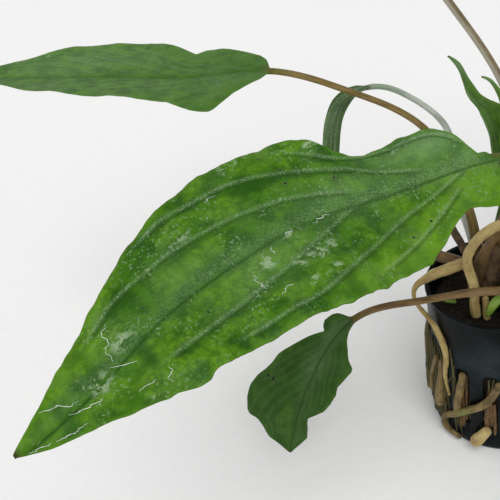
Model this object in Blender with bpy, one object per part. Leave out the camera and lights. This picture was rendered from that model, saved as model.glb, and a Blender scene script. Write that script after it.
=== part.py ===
# Cryptocoryne rooted in a slotted growing pot. Metres, +Z up, pot standing on z = 0, front towards -Y.
import math

import bmesh
import bpy
import numpy as np
from mathutils import Matrix, Vector

MM = 0.001

# Pot, in millimetres.
POT_HEIGHT = 58.0
RIM_RADIUS = 25.0
BASE_RADIUS = 24.4
WALL = 1.2
FLOOR = 1.6
LIP_OUT = 0.4
LIP_HEIGHT = 1.4
FOOT_EDGE = 1.5
SLOT_COUNT = 16
SLOT_BOTTOM = 5.0
SLOT_TOP = 36.0
SLOT_WIDTH = 4.9
FIRST_SLOT = 8.0
FLOOR_HOLE_COUNT = 8
FLOOR_HOLE_INNER = 9.0
FLOOR_HOLE_OUTER = 17.0
FLOOR_HOLE_WIDTH = 3.0

# Growing medium and rhizome, in millimetres.
GAP = 0.35
SIDE_GAP = 0.6
MEDIUM_EDGE = 49.6
MEDIUM_CROWN = 51.2
RHIZOME_RADIUS = 4.9
RHIZOME_BOTTOM = 44.0
RHIZOME_TOP = 64.0

# Leaf section: half the blade's thickness at the midrib and at the tip, and the rib below the blade.
BLADE_HALF = 0.42
TIP_HALF = 0.18
RIB = 1.0
RIB_REACH = 1.3
TIP_WIDTH = 0.35


def fitted(width, stations=9, widest=0.36, point=0.85):
    """Half-widths in mm of a plain pointed leaf: a power curve that is zero at both ends."""
    rise = point * widest / (1 - widest)
    out = []
    for i in range(stations):
        u = min(max(i / (stations - 1), 0.02), 0.98)
        out.append(width / 2 * (u / widest) ** rise * ((1 - u) / (1 - widest)) ** point)
    return out


# One entry for each leaf. stalk and blade are points along the middle, in mm, from the crown to the
# tip. left and right are half-widths, seen from above with the tip away: at even steps of the blade and
# rounded off at its base, or as pairs of a share and a half-width. roll tips the blade round its midrib,
# fold lifts both margins, in mm, a lift adds to one margin at even steps, wave is the height, the number
# and the two starting phases of the margins' ripples, and opens is the share of the blade over which the
# oval stalk flattens.
LEAVES = {
    "leaf_front_large": {
        "stalk": [(-7.3, -3.2, 54.2), (-5, -5, 68), (0, -6.5, 85), (4.5, -12, 102), (5, -24, 117)],
        "blade": [(-1, -34.3, 125), (-24, -51, 127), (-45, -69, 129.5), (-60, -86.5, 129),
                  (-72, -103.5, 126.5), (-80.5, -119, 122.5), (-94.5, -134.5, 116)],
        "left": [(0, 1.3), (0.012, 7), (0.03, 11.5), (0.055, 12.8), (0.125, 13), (0.147, 14.8), (0.173, 17.5),
                 (0.204, 20.5), (0.243, 24), (0.29, 24.8), (0.393, 25.7), (0.437, 25), (0.474, 23.6),
                 (0.555, 22.8), (0.589, 21.5), (0.63, 20.6), (0.685, 20), (0.755, 17.6), (0.8, 14.6),
                 (0.842, 11.2), (0.87, 8.7), (0.901, 6.6), (0.952, 4.2), (0.985, 1.7), (1, 0.4)],
        "right": [(0, 1.3), (0.045, 1.5), (0.053, 6.6), (0.059, 8.3), (0.068, 10.5), (0.084, 12),
                  (0.118, 14.4), (0.135, 15.1), (0.156, 15.2), (0.18, 14.8), (0.212, 13.4), (0.257, 13.3),
                  (0.283, 15.1), (0.298, 18.4), (0.309, 19.9), (0.345, 22.6), (0.363, 23.7), (0.414, 22.8),
                  (0.45, 22.6), (0.499, 23.9), (0.537, 23.1), (0.57, 21.6), (0.629, 19.4), (0.658, 18.2),
                  (0.691, 16), (0.719, 13.9), (0.744, 12.8), (0.828, 9.6), (0.887, 6.9), (0.945, 4.2),
                  (0.985, 1.5), (1, 0.4)],
        "right_lift": [0, 0, -5, -1, 0, 0, 0, 0, 0, 0, 0, 0, 0], "opens": 0.035,
        "roll": (25, 25), "fold": (2.0, 1.0), "wave": (1.0, 7, 0.45, 0.1),
        "lobe": 3.0, "stalk_radii": (2.1, 1.25), "steps": (7, 20), "across": 8, "colour": "bright",
    },
    "leaf_left_long": {
        "stalk": [(-7.1, 2.2, 54.2), (-8.3, 5, 73), (-14, 12, 92), (-24, 18, 107), (-47, 17.5, 122)],
        "blade": [(-71, 15, 132), (-98, 13.5, 132.5), (-125, 12, 135), (-153, 11, 137), (-182, 10, 139.5)],
        "left": [(0, 1.2), (0.03, 6.3), (0.058, 9.2), (0.08, 12), (0.107, 15), (0.13, 20.5), (0.143, 24.2),
                 (0.154, 25.4), (0.179, 25), (0.209, 24.2), (0.243, 22.4), (0.286, 19.6), (0.355, 19),
                 (0.424, 19.3), (0.497, 18.7), (0.554, 16.8), (0.622, 15.4), (0.692, 13.5), (0.787, 10.5),
                 (0.861, 7.5), (1, 0.4)],
        "right": [(0, 1.2), (0.019, 2.7), (0.046, 7.3), (0.068, 10.7), (0.103, 13.2), (0.147, 15.8),
                  (0.198, 18.9), (0.25, 19.9), (0.278, 16.9), (0.303, 19.1), (0.347, 22.5), (0.406, 25.8),
                  (0.46, 27), (0.544, 26), (0.63, 26.3), (0.676, 26.6), (0.725, 26), (0.791, 21.5),
                  (0.846, 17), (0.894, 13.6), (0.942, 9), (1, 0.4)],
        "left_lift": [0, -3.2, -2.2, 0, 0, 0, 0, 0, 0], "opens": 0.05,
        "roll": (0, 0), "fold": (2.2, 1.0), "wave": (0.4, 5, 0.0, 0.4),
        "lobe": 2.0, "stalk_radii": (2.1, 1.2), "steps": (7, 13), "across": 6, "colour": "deep",
    },
    "leaf_low_small": {
        "stalk": [(0.3, -7.6, 54.2), (5.5, -12.5, 62), (4, -19.5, 69), (-6, -24.5, 72.5), (-24, -27, 70.5)],
        "blade": [(-45.5, -26.3, 62), (-53, -31, 56), (-60, -38.5, 46), (-65, -45.5, 35), (-68, -52, 24)],
        "left": [(0, 1.2), (0.04, 1.6), (0.089, 2.2), (0.143, 3.8), (0.187, 5.9), (0.24, 8.1), (0.272, 10.6),
                 (0.302, 11), (0.39, 10.1), (0.448, 9.3), (0.5, 10.1), (0.576, 9.4), (0.652, 7.9),
                 (0.693, 6), (0.732, 4), (0.798, 4.9), (0.867, 5.3), (0.913, 3.6), (0.95, 2.2), (1, 0.4)],
        "right": [(0, 1.2), (0.015, 2.1), (0.042, 4.2), (0.091, 5.9), (0.14, 6.2), (0.168, 5.2), (0.186, 3.9),
                  (0.224, 5.6), (0.264, 7.3), (0.308, 8.9), (0.348, 10.2), (0.433, 13.1), (0.496, 14.2),
                  (0.553, 15.5), (0.613, 17.5), (0.673, 18.5), (0.75, 18.5), (0.816, 17.5), (0.839, 16.3),
                  (0.847, 13.2), (0.884, 10.5), (0.935, 7.8), (0.951, 5.8), (0.966, 3.8), (1, 0.4)],
        "opens": 0.07, "roll": (30, 30), "fold": (1.5, 1.0), "wave": (0.6, 4, 0.2, 0.55),
        "lobe": 0.0, "stalk_radii": (2.0, 1.15), "steps": (7, 14), "across": 6, "colour": "dark",
    },
    "leaf_narrow_folded": {
        "stalk": [(-4.7, 6.0, 54.2), (-10, 12, 70), (-15.5, 23, 85), (-18, 34, 98), (-30, 36, 110)],
        "blade": [(-42, 31.5, 117), (-51, 23.5, 115.5), (-54.2, 14, 106), (-54, 5, 97), (-52.5, -1, 87)],
        "left": [1.6, 2.8, 3.1, 3.1, 3.1, 2.9, 2.4, 1.5, 0.3],
        "right": [1.6, 3.0, 3.5, 3.6, 3.5, 3.1, 2.6, 1.6, 0.3],
        "roll": (0, 0), "fold": (1.4, 1.0), "wave": (0.2, 3, 0.0, 0.5),
        "lobe": 0.0, "stalk_radii": (2.0, 1.35), "steps": (8, 10), "across": 6, "colour": "grey",
    },
    "leaf_young_curled": {
        "stalk": [(-2.5, 1.3, 65), (-0.3, 6.3, 80)],
        "blade": [(1.5, 11, 92), (-0.9, 14.5, 102), (-3.6, 18.3, 111), (-8.3, 21.3, 115.8),
                  (-11.2, 23, 120.8), (-13.2, 24.2, 125.6), (-16.2, 24.6, 129)],
        "left": [(0, 1.3), (0.06, 3.2), (0.15, 4), (0.4, 4.2), (0.5, 4), (0.58, 3.3), (0.64, 2.8),
                 (0.72, 1.9), (0.78, 1.4), (0.9, 1.1), (1, 0.3)],
        "right": [(0, 1.3), (0.06, 4.5), (0.15, 7), (0.25, 8.2), (0.38, 8.2), (0.46, 6.2), (0.5, 4.2),
                  (0.55, 3), (0.62, 2.4), (0.7, 1.9), (0.78, 1.4), (0.9, 1.2), (1, 0.3)],
        "opens": 0.12, "roll": (10, 0), "fold": (1.8, 0.8), "wave": (0.3, 4, 0.0, 0.3),
        "lobe": 0.0, "stalk_radii": (1.6, 1.2), "steps": (3, 11), "across": 6, "colour": "bright",
    },
    "leaf_tall_left": {
        "stalk": [(0.9, 2.9, 65), (5.5, 7.5, 91), (1.8, 13.5, 120), (-15.5, 20, 149)],
        "blade": [(-28.5, 25, 168), (-42, 36, 181), (-56, 53, 188), (-70, 73, 187), (-82, 93, 180)],
        "left": fitted(29), "right": fitted(31),
        "roll": (0, 0), "fold": (2.6, 0.8), "wave": (1.0, 5, 0.3, 0.7),
        "lobe": 2.0, "stalk_radii": (1.6, 1.2), "steps": (6, 9), "across": 6, "colour": "deep",
    },
    "leaf_front_right": {
        "stalk": [(7.3, -2.0, 54.2), (11, -6, 72), (16, -12, 92), (24, -20, 109)],
        "blade": [(36, -30, 119), (57, -47, 125), (77, -65, 123.5), (94, -82, 116), (107, -97, 104)],
        "left": fitted(36), "right": fitted(38),
        "roll": (-8, 0), "fold": (2.6, 0.8), "wave": (1.2, 6, 0.15, 0.6),
        "lobe": 2.5, "stalk_radii": (2.1, 1.25), "steps": (6, 9), "across": 6, "colour": "bright",
    },
    "leaf_right_long": {
        "stalk": [(7.1, 2.6, 54.2), (13, 5, 78), (24, 8, 98), (40, 10, 113)],
        "blade": [(58, 12, 123), (83, 13.5, 130), (108, 13, 130.5), (131, 10, 125), (151, 5, 115)],
        "left": fitted(33), "right": fitted(34),
        "roll": (0, -8), "fold": (2.6, 0.8), "wave": (1.1, 6, 0.35, 0.05),
        "lobe": 2.0, "stalk_radii": (2.1, 1.2), "steps": (6, 9), "across": 6, "colour": "deep",
    },
    "leaf_back_right": {
        "stalk": [(4.4, 6.2, 54.2), (9, 15, 78), (16, 29, 100), (25, 45, 117)],
        "blade": [(35, 62, 128), (48, 84, 135), (60, 106, 135), (70, 126, 128), (77, 143, 117)],
        "left": fitted(32), "right": fitted(34),
        "roll": (0, 6), "fold": (2.6, 0.8), "wave": (1.1, 5, 0.25, 0.8),
        "lobe": 2.0, "stalk_radii": (2.0, 1.2), "steps": (6, 9), "across": 6, "colour": "deep",
    },
    "leaf_tall_right": {
        "stalk": [(1.6, -2.5, 65), (5.5, -2.5, 92), (12, 1, 124)],
        "blade": [(21, 8, 149), (31, 14, 168), (46, 21, 179), (63, 28, 180), (79, 34, 172)],
        "left": fitted(28), "right": fitted(29),
        "roll": (0, 0), "fold": (2.8, 0.8), "wave": (0.9, 5, 0.0, 0.5),
        "lobe": 2.0, "stalk_radii": (1.6, 1.15), "steps": (5, 9), "across": 6, "colour": "bright",
    },
    "leaf_low_right": {
        "stalk": [(4.9, -5.8, 54.2), (12, -13, 65), (22, -19, 72), (33, -23, 71)],
        "blade": [(44, -27, 66), (56, -33, 57), (66, -39, 44), (73, -44, 30)],
        "left": fitted(27), "right": fitted(25),
        "roll": (0, 0), "fold": (1.6, 0.8), "wave": (1.2, 4, 0.1, 0.55),
        "lobe": 1.5, "stalk_radii": (1.9, 1.15), "steps": (5, 8), "across": 6, "colour": "dark",
    },
    "leaf_back_low": {
        "stalk": [(0.2, 7.8, 54.2), (5, 20, 71), (11, 35, 82), (17, 49, 86)],
        "blade": [(23, 62, 85), (29, 77, 79), (34, 92, 68), (38, 104, 54)],
        "left": fitted(28), "right": fitted(27),
        "roll": (0, 0), "fold": (1.8, 0.8), "wave": (1.1, 4, 0.45, 0.9),
        "lobe": 1.5, "stalk_radii": (1.9, 1.15), "steps": (5, 8), "across": 6, "colour": "dark",
    },
}


def wall_radius(z):
    """Outer radius of the pot's tapered wall at height z, in mm."""
    return BASE_RADIUS + (RIM_RADIUS - BASE_RADIUS) * z / POT_HEIGHT


def by_wall(angle, z, clear):
    """Point at an angle round the pot, from the front towards the left, and a distance off the wall."""
    radius = wall_radius(z) + clear
    turn = math.radians(angle)
    return (-radius * math.sin(turn), -radius * math.cos(turn), z)


# One entry for each root, old stalk and shoot: points along the middle and radii from end to end, in mm.
ROOTS = {
    "root_crown_arch": {"path": [(6.3, -9.6, 73), (6.6, -10.8, 80.5), (4.2, -12, 86.6), (0, -12.2, 88.7),
                                 (-3.3, -12.2, 87), (-6.9, -12.2, 83.4), (-9.5, -12.2, 78.7),
                                 (-10.3, -12.2, 74.7), (-9.3, -12.3, 69.5), (-8.3, -12.6, 63),
                                 (-8.2, -13.1, 57.8), (-7.7, -13.8, 52.7)], "radii": (1.5, 1.65, 1.6, 1.7)},
    "root_rim_left": {"path": [(-10.6, -7.9, 71.4), (-14.3, -6.6, 68.7), (-18, -5.3, 66),
                               (-21.7, -3.9, 63.2), (-24.9, -3.3, 60.5), (-27.3, -4.6, 59.4),
                               (-28.6, -6.4, 57.2), (-27.9, -8.6, 55), (-25.6, -11, 52.9),
                               by_wall(57, 50.6, 1.75),
                               by_wall(51, 48, 1.6), by_wall(45, 43, 1.5), by_wall(44, 37.5, 1.4),
                               by_wall(46.5, 30, 1.3), by_wall(43, 20.5, 1.2)],
                      "radii": (1.9, 2.0, 1.9, 1.8, 1.3, 0.75, 0.75, 0.95, 1.15, 1.15, 1.05, 1.0, 0.8, 0.6,
                                0.5)},
    "root_brown_left": {"path": [(-11, 0.3, 64.4), (-14.5, 2.7, 63.9), (-18.5, 5.7, 63.1), (-22.3, 9, 62),
                                 (-24.2, 13.4, 58.5), by_wall(121, 51, 1.8), by_wall(124, 41, 1.5)],
                        "radii": (2.0, 2.1, 2.0, 1.7, 1.3, 1.0, 0.7)},
    "root_stub_front": {"path": [(-4.8, -13.1, 61.5), (-4.7, -13.6, 57), (-4.3, -14.5, 52.4)],
                        "radii": (1.05, 1.2)},
    "root_low_front": {"path": [by_wall(1, 35, 1.7), by_wall(6.5, 28, 1.8), by_wall(13.5, 23.4, 1.8),
                                by_wall(26, 18.4, 1.8), by_wall(41, 12.2, 1.8), by_wall(49.5, 7.2, 1.8),
                                by_wall(48, 3.6, 1.8), by_wall(40.5, 2.6, 1.6), by_wall(32.5, 2.3, 1.5)],
                       "radii": (1.2, 1.35, 1.35, 1.35, 1.3, 1.3, 1.2, 1.0, 0.9)},
    "root_end_front": {"path": [by_wall(8.5, 13, 2.3), by_wall(12.5, 10, 2.6), by_wall(20.5, 3.9, 2.8)],
                       "radii": (1.7, 2.4)},
    "root_slot_left": {"path": [by_wall(30.5, 34.4, 0.4), by_wall(31, 28.5, 1.5), by_wall(34.3, 19, 1.9)],
                       "radii": (1.2, 1.55)},
    "root_bulge_left": {"path": [by_wall(52.5, 34.5, 0.4), by_wall(53, 26, 1.2), by_wall(52.5, 19, 2.0),
                                 by_wall(53, 13, 2.3)], "radii": (0.9, 1.1, 1.8, 1.9)},
    "root_slot_first": {"path": [by_wall(57.5, 35, 1.2), by_wall(62.5, 29, 1.3), by_wall(69, 21.5, 1.4),
                                 by_wall(71.5, 13, 1.5)], "radii": (0.7, 1.05)},
    "root_thin_left": {"path": [by_wall(70, 47.5, 1.05), by_wall(79, 39, 1.3), by_wall(83, 27, 1.45),
                                by_wall(83, 17, 1.7), by_wall(79, 10, 1.7)], "radii": (0.7, 0.95, 1.1, 1.2)},
    "root_slot_right": {"path": [by_wall(-59.5, 32, 0.5), by_wall(-58.5, 21.5, 1.8), by_wall(-52, 12, 2.0),
                                 by_wall(-43, 5.5, 2.1), by_wall(-33, 2.4, 1.9)], "radii": (1.3, 0.9)},
    "root_slot_back": {"path": [by_wall(143, 31, 0.5), by_wall(141.5, 21.5, 1.8), by_wall(136.5, 11, 2.0),
                                by_wall(142, 3, 2.0)], "radii": (1.4, 1.0)},
    "root_back_right": {"path": [by_wall(-127, 30, 0.5), by_wall(-125, 19.5, 1.8), by_wall(-129.5, 9.5, 2.1),
                                 by_wall(-122, 2.8, 2.0)], "radii": (1.3, 0.9)},
    "old_stalk_front": {"path": [(-4.2, -7.6, 54.2), (-3.7, -8.7, 62), (-2.3, -9.2, 71), (-0.6, -9.9, 79)],
                        "radii": (2.3, 1.7)},
    "old_stalk_left": {"path": [(-9.6, -5.5, 66.5), (-10.9, -3.1, 70.9), (-14, 1.3, 75),
                                (-17.6, 6.2, 79.5)], "radii": (1.4, 1.2)},
    "shoot_front": {"path": [(3.4, -16.4, 52.8), (2.4, -17.2, 60), (-0.2, -17.3, 63.8), (-2.6, -17.2, 60.6),
                             (-4.2, -17, 56.4)], "radii": (1.2, 1.5, 1.4, 1.5, 0.8)},
    "shoot_left": {"path": [(-14.6, -4.6, 51.9), (-16.6, -5.4, 52.6), (-18.6, -6, 53.2)],
                   "radii": (0.9, 0.4)},
}

MATERIALS = {
    "bright": ((0.075, 0.205, 0.012), 0.28),
    "deep": ((0.060, 0.170, 0.022), 0.38),
    "dark": ((0.040, 0.098, 0.020), 0.45),
    "grey": ((0.200, 0.290, 0.160), 0.45),
    "root": ((0.320, 0.200, 0.075), 0.60),
    "shoot": ((0.120, 0.260, 0.020), 0.40),
    "rhizome": ((0.100, 0.055, 0.022), 0.65),
    "medium": ((0.016, 0.010, 0.005), 0.95),
    "pot": ((0.010, 0.013, 0.014), 0.42),
}


def smooth_through(knots, values, at):
    """Natural cubic spline: passes through values at knots, with no bend at the ends."""
    values = np.asarray(values, float).reshape(len(knots), -1)
    step = np.diff(knots)
    count = len(knots)
    system = np.eye(count)
    pull = np.zeros_like(values)
    for i in range(1, count - 1):
        system[i, i - 1:i + 2] = step[i - 1], 2 * (step[i - 1] + step[i]), step[i]
        pull[i] = 6 * ((values[i + 1] - values[i]) / step[i] - (values[i] - values[i - 1]) / step[i - 1])
    bend = np.linalg.solve(system, pull)
    k = np.clip(np.searchsorted(knots, at, side="right") - 1, 0, count - 2)
    b = ((at - knots[k]) / step[k])[:, None]
    a = 1 - b
    size = (step[k] ** 2)[:, None]
    curved = (a ** 3 - a) * bend[k] + (b ** 3 - b) * bend[k + 1]
    return a * values[k] + b * values[k + 1] + curved * size / 6


def chord_knots(points):
    """Distance along straight lines from the first point to each point."""
    spans = np.linalg.norm(np.diff(np.asarray(points, float), axis=0), axis=1)
    return np.concatenate([[0.0], np.cumsum(spans)])


def unit(vectors):
    return vectors / np.linalg.norm(vectors, axis=-1, keepdims=True)


def smoothstep(x):
    x = np.clip(x, 0, 1)
    return x * x * (3 - 2 * x)


def material(name):
    colour, roughness = MATERIALS[name]
    made = bpy.data.materials.new(name)
    made.use_nodes = True
    shader = made.node_tree.nodes["Principled BSDF"]
    shader.inputs["Base Color"].default_value = (*colour, 1)
    shader.inputs["Roughness"].default_value = roughness
    shader.inputs["Metallic"].default_value = 0.0
    made.diffuse_color = (*colour, 1)
    return made


def add_object(name, data, finish, base=(0, 0, 0)):
    """Named object of one piece, carried by the plant's empty, with its origin at base, in mm."""
    data.materials.append(finish)
    piece = bpy.data.objects.new(name, data)
    piece.location = Vector(base) * MM
    piece.parent = plant
    bpy.context.scene.collection.objects.link(piece)
    return piece


def ring_faces(rings, sides, turn_at=None):
    """Triangles that join closed rings in order, and a face over each end. From side turn_at on, the
    diagonals lean the other way, so that both faces of a thin blade are cut alike."""
    turn_at = sides if turn_at is None else turn_at
    faces = [list(range(sides))[::-1], [(rings - 1) * sides + j for j in range(sides)]]
    for i in range(rings - 1):
        for j in range(sides):
            a = i * sides + j
            b = i * sides + (j + 1) % sides
            if j < turn_at:
                faces.extend([[a, b, b + sides], [a, b + sides, a + sides]])
            else:
                faces.extend([[a, b, a + sides], [b, b + sides, a + sides]])
    return faces


def half_width(leaf, edge, u, stalk):
    """Half-width of the blade in mm at shares u, on its left or right, and never under the stalk's."""
    widths = np.asarray(leaf[edge], float)
    if widths.ndim == 2:
        half = np.interp(u, widths[:, 0], widths[:, 1])
    else:
        rounded = np.sqrt(1 - (1 - np.clip(u / 0.11, 0, 1)) ** 2)
        half = smooth_through(np.linspace(0, 1, len(widths)), widths, u)[:, 0] * rounded
    half = np.maximum(half, TIP_WIDTH)
    return np.where(u > 0.5, half, np.maximum(half, stalk))


def leaf_section(leaf, across):
    """Even steps over the blade, finer at the midrib, as -1 to 1."""
    even = np.linspace(-1, 1, across + 1)
    return np.sign(even) * np.abs(even) ** 1.25


def add_leaf(name, leaf, finish):
    """A leaf grown in one: an oval stalk that flattens into a ribbed, folded and rippled blade."""
    stalk_steps, blade_steps = leaf["steps"]
    path = np.asarray(leaf["stalk"] + leaf["blade"], float)
    knots = chord_knots(path)
    base = knots[len(leaf["stalk"])]
    along_blade = np.linspace(0, 1, blade_steps + 1)[1:] ** 1.15
    at = np.concatenate([np.linspace(0, base, stalk_steps + 1), base + (knots[-1] - base) * along_blade])
    u = np.clip((at - base) / (knots[-1] - base), 0, 1)
    in_blade = smoothstep(u / leaf.get("opens", 0.10))

    middle = smooth_through(knots, path, at)
    small = knots[-1] * 1e-3
    tangent = unit(smooth_through(knots, path, np.clip(at + small, 0, knots[-1]))
                   - smooth_through(knots, path, np.clip(at - small, 0, knots[-1])))
    heading = unit((path[-1] - path[len(leaf["stalk"])]) * [1, 1, 0])
    side = np.cross(heading, [0, 0, 1])
    side = unit(side - tangent * (tangent @ side)[:, None])
    up = np.cross(side, tangent)
    roll = np.radians(leaf["roll"][0] + (leaf["roll"][1] - leaf["roll"][0]) * u) * smoothstep(at / base)
    side_now = np.cos(roll)[:, None] * side + np.sin(roll)[:, None] * up
    up_now = np.cos(roll)[:, None] * up - np.sin(roll)[:, None] * side

    v = leaf_section(leaf, leaf["across"])
    first, last = leaf["stalk_radii"]
    stalk = first + (last - first) * smoothstep(at / base * 1.4)
    left = half_width(leaf, "left", u, stalk)
    right = half_width(leaf, "right", u, stalk)
    reach = np.where(v < 0, left[:, None], right[:, None])
    flat_x = reach * v
    round_x = stalk[:, None] * np.sin(np.pi * v / 2)
    x = round_x + (flat_x - round_x) * in_blade[:, None]

    fold = leaf["fold"][0] + (leaf["fold"][1] - leaf["fold"][0]) * u
    height, count, phase_left, phase_right = leaf["wave"]
    phase = np.where(v < 0, phase_left, phase_right)
    ripple = height * np.sin(2 * np.pi * (count * u[:, None] + phase)) * np.abs(v) ** 3
    for edge, toward in (("left_lift", -1), ("right_lift", 1)):
        if edge in leaf:
            stations = np.linspace(0, 1, len(leaf[edge]))
            ripple += smooth_through(stations, leaf[edge], u) * np.clip(toward * v, 0, 1) ** 2
    strength = in_blade * np.sin(np.pi * np.clip(u, 0, 1)) ** 0.4
    arch = (fold[:, None] * np.abs(v) ** 1.3 + ripple) * strength[:, None]

    thin = BLADE_HALF + (TIP_HALF - BLADE_HALF) * u[:, None]
    sheet = thin * np.sqrt(1 - v ** 4)
    rib = RIB * (1 - u[:, None]) * np.exp(-(x / RIB_REACH) ** 2) * np.sqrt(1 - v ** 4)
    oval = 0.85 * stalk[:, None] * np.sqrt(1 - np.sin(np.pi * v / 2) ** 2)
    blend = in_blade[:, None]
    top = arch + oval + (sheet - oval) * blend
    bottom = arch - oval - (sheet + rib - oval) * blend
    back = leaf["lobe"] * (v ** 2) * ((1 - u[:, None]) ** 6) * blend

    def place(height_above):
        return (middle[:, None, :] + side_now[:, None, :] * x[..., None]
                + up_now[:, None, :] * height_above[..., None] - tangent[:, None, :] * back[..., None])

    upper = place(top)
    lower = place(bottom)
    rings = np.concatenate([upper, lower[:, -2:0:-1, :]], axis=1)
    sides = rings.shape[1]
    mesh = bpy.data.meshes.new(name)
    points = (rings.reshape(-1, 3) - path[0]) * MM
    mesh.from_pydata(points.tolist(), [], ring_faces(len(at), sides, leaf["across"]))
    mesh.shade_smooth()
    return add_object(name, mesh, finish, path[0])


def add_root(name, root, finish):
    """A round root, old stalk or shoot: a curve with filled caps, whose radius changes and rounds off."""
    path = np.asarray(root["path"], float)
    knots = chord_knots(path)
    radii = root["radii"]
    steps = 3 * (len(path) - 1) if len(path) < 5 else 2 * (len(path) - 1)
    at = np.linspace(0, knots[-1], steps + 1)
    at = np.concatenate([[0, radii[0] * 0.4], at[1:-1], [knots[-1] - radii[-1] * 0.4, knots[-1]]])
    middle = smooth_through(knots, path, at) - path[0]
    radius = np.interp(at, np.linspace(0, knots[-1], len(radii)), radii)
    radius[[0, -1]] *= 0.55

    curve = bpy.data.curves.new(name, "CURVE")
    curve.dimensions = "3D"
    curve.bevel_depth = MM
    curve.bevel_resolution = 1
    curve.use_fill_caps = True
    spline = curve.splines.new("POLY")
    spline.points.add(len(at) - 1)
    for point, place, size in zip(spline.points, middle, radius):
        point.co = (*(place * MM), 1)
        point.radius = size
    return add_object(name, curve, finish, path[0])


def add_turned(name, profile, finish, sides, smooth_angle=40):
    """Solid of revolution: (radius, height) pairs in mm, from axis to axis, spun about Z."""
    bm = bmesh.new()
    outline = [bm.verts.new((radius * MM, 0, z * MM)) for radius, z in profile]
    edges = [bm.edges.new(pair) for pair in zip(outline, outline[1:])]
    bmesh.ops.spin(bm, geom=outline + edges, axis=(0, 0, 1), cent=(0, 0, 0), steps=sides,
                   angle=2 * math.pi, use_merge=True)
    bmesh.ops.remove_doubles(bm, verts=bm.verts, dist=1e-6)
    bmesh.ops.recalc_face_normals(bm, faces=bm.faces)
    mesh = bpy.data.meshes.new(name)
    bm.to_mesh(mesh)
    bm.free()
    mesh.shade_smooth()
    mesh.set_sharp_from_angle(angle=math.radians(smooth_angle))
    return add_object(name, mesh, finish)


def add_slot_cutters(pot):
    """One upright block for each slot in the wall and one flat block for each hole in the floor."""
    bm = bmesh.new()
    upright = ((wall_radius(SLOT_BOTTOM), 0, (SLOT_BOTTOM + SLOT_TOP) / 2),
               (5 * WALL, SLOT_WIDTH, SLOT_TOP - SLOT_BOTTOM))
    flat = (((FLOOR_HOLE_INNER + FLOOR_HOLE_OUTER) / 2, 0, FLOOR / 2),
            (FLOOR_HOLE_OUTER - FLOOR_HOLE_INNER, FLOOR_HOLE_WIDTH, 2 * FLOOR))
    for count, (middle, size) in ((SLOT_COUNT, upright), (FLOOR_HOLE_COUNT, flat)):
        for i in range(count):
            turn = Matrix.Rotation(2 * math.pi * i / count, 4, "Z")
            place = Matrix.Translation(Vector(middle) * MM)
            stretch = Matrix.Diagonal((*(Vector(size) * MM), 1))
            bmesh.ops.create_cube(bm, size=1, matrix=turn @ place @ stretch)
    mesh = bpy.data.meshes.new("slot_cutters")
    bm.to_mesh(mesh)
    bm.free()
    cutters = bpy.data.objects.new("slot_cutters", mesh)
    bpy.context.scene.collection.objects.link(cutters)
    cutters.parent = pot
    cutters.hide_render = True
    cutters.display_type = "WIRE"
    cut = pot.modifiers.new("slots", "BOOLEAN")
    cut.object = cutters
    cut.operation = "DIFFERENCE"
    cut.solver = "EXACT"


for old in list(bpy.data.objects):
    bpy.data.objects.remove(old, do_unlink=True)

plant = bpy.data.objects.new("cryptocoryne", None)
bpy.context.scene.collection.objects.link(plant)

lip_from = POT_HEIGHT - LIP_HEIGHT
pot = add_turned("pot", [
    (0, 0), (BASE_RADIUS - FOOT_EDGE, 0), (BASE_RADIUS - 0.3 * FOOT_EDGE, 0.3 * FOOT_EDGE),
    (wall_radius(FOOT_EDGE), FOOT_EDGE), (wall_radius(lip_from), lip_from),
    (wall_radius(lip_from) + LIP_OUT, lip_from + LIP_OUT), (RIM_RADIUS + LIP_OUT, POT_HEIGHT),
    (RIM_RADIUS - WALL, POT_HEIGHT), (BASE_RADIUS - WALL, FLOOR), (0, FLOOR)], material("pot"), sides=40)
pot.rotation_euler.z = math.radians(-FIRST_SLOT)
add_slot_cutters(pot)

inside = wall_radius(FLOOR) - WALL - SIDE_GAP
edge = wall_radius(MEDIUM_EDGE) - WALL - SIDE_GAP
pocket = RHIZOME_RADIUS + GAP
add_turned("growing_medium", [
    (0, FLOOR + GAP), (inside, FLOOR + GAP), (edge, MEDIUM_EDGE), (edge * 0.72, MEDIUM_EDGE + 0.9),
    (edge * 0.42, MEDIUM_CROWN), (pocket, MEDIUM_CROWN), (pocket, RHIZOME_BOTTOM - GAP),
    (0, RHIZOME_BOTTOM - GAP)], material("medium"), sides=24)

scars = [(RHIZOME_RADIUS * (0.97 if i % 2 else 0.88), RHIZOME_BOTTOM + 3 + 2.3 * i) for i in range(7)]
add_turned("rhizome", [
    (0, RHIZOME_BOTTOM), (RHIZOME_RADIUS * 0.7, RHIZOME_BOTTOM), *scars,
    (RHIZOME_RADIUS * 0.8, RHIZOME_TOP), (0, RHIZOME_TOP + 0.3)], material("rhizome"), sides=12)

for leaf_name, leaf_shape in LEAVES.items():
    add_leaf(leaf_name, leaf_shape, material(leaf_shape["colour"]))

kinds = {"root": "root", "old": "rhizome", "shoot": "shoot"}
for root_name, root_shape in ROOTS.items():
    add_root(root_name, root_shape, material(kinds[root_name.split("_")[0]]))
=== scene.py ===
import math

import bpy
import numpy as np
from mathutils import Matrix


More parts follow.
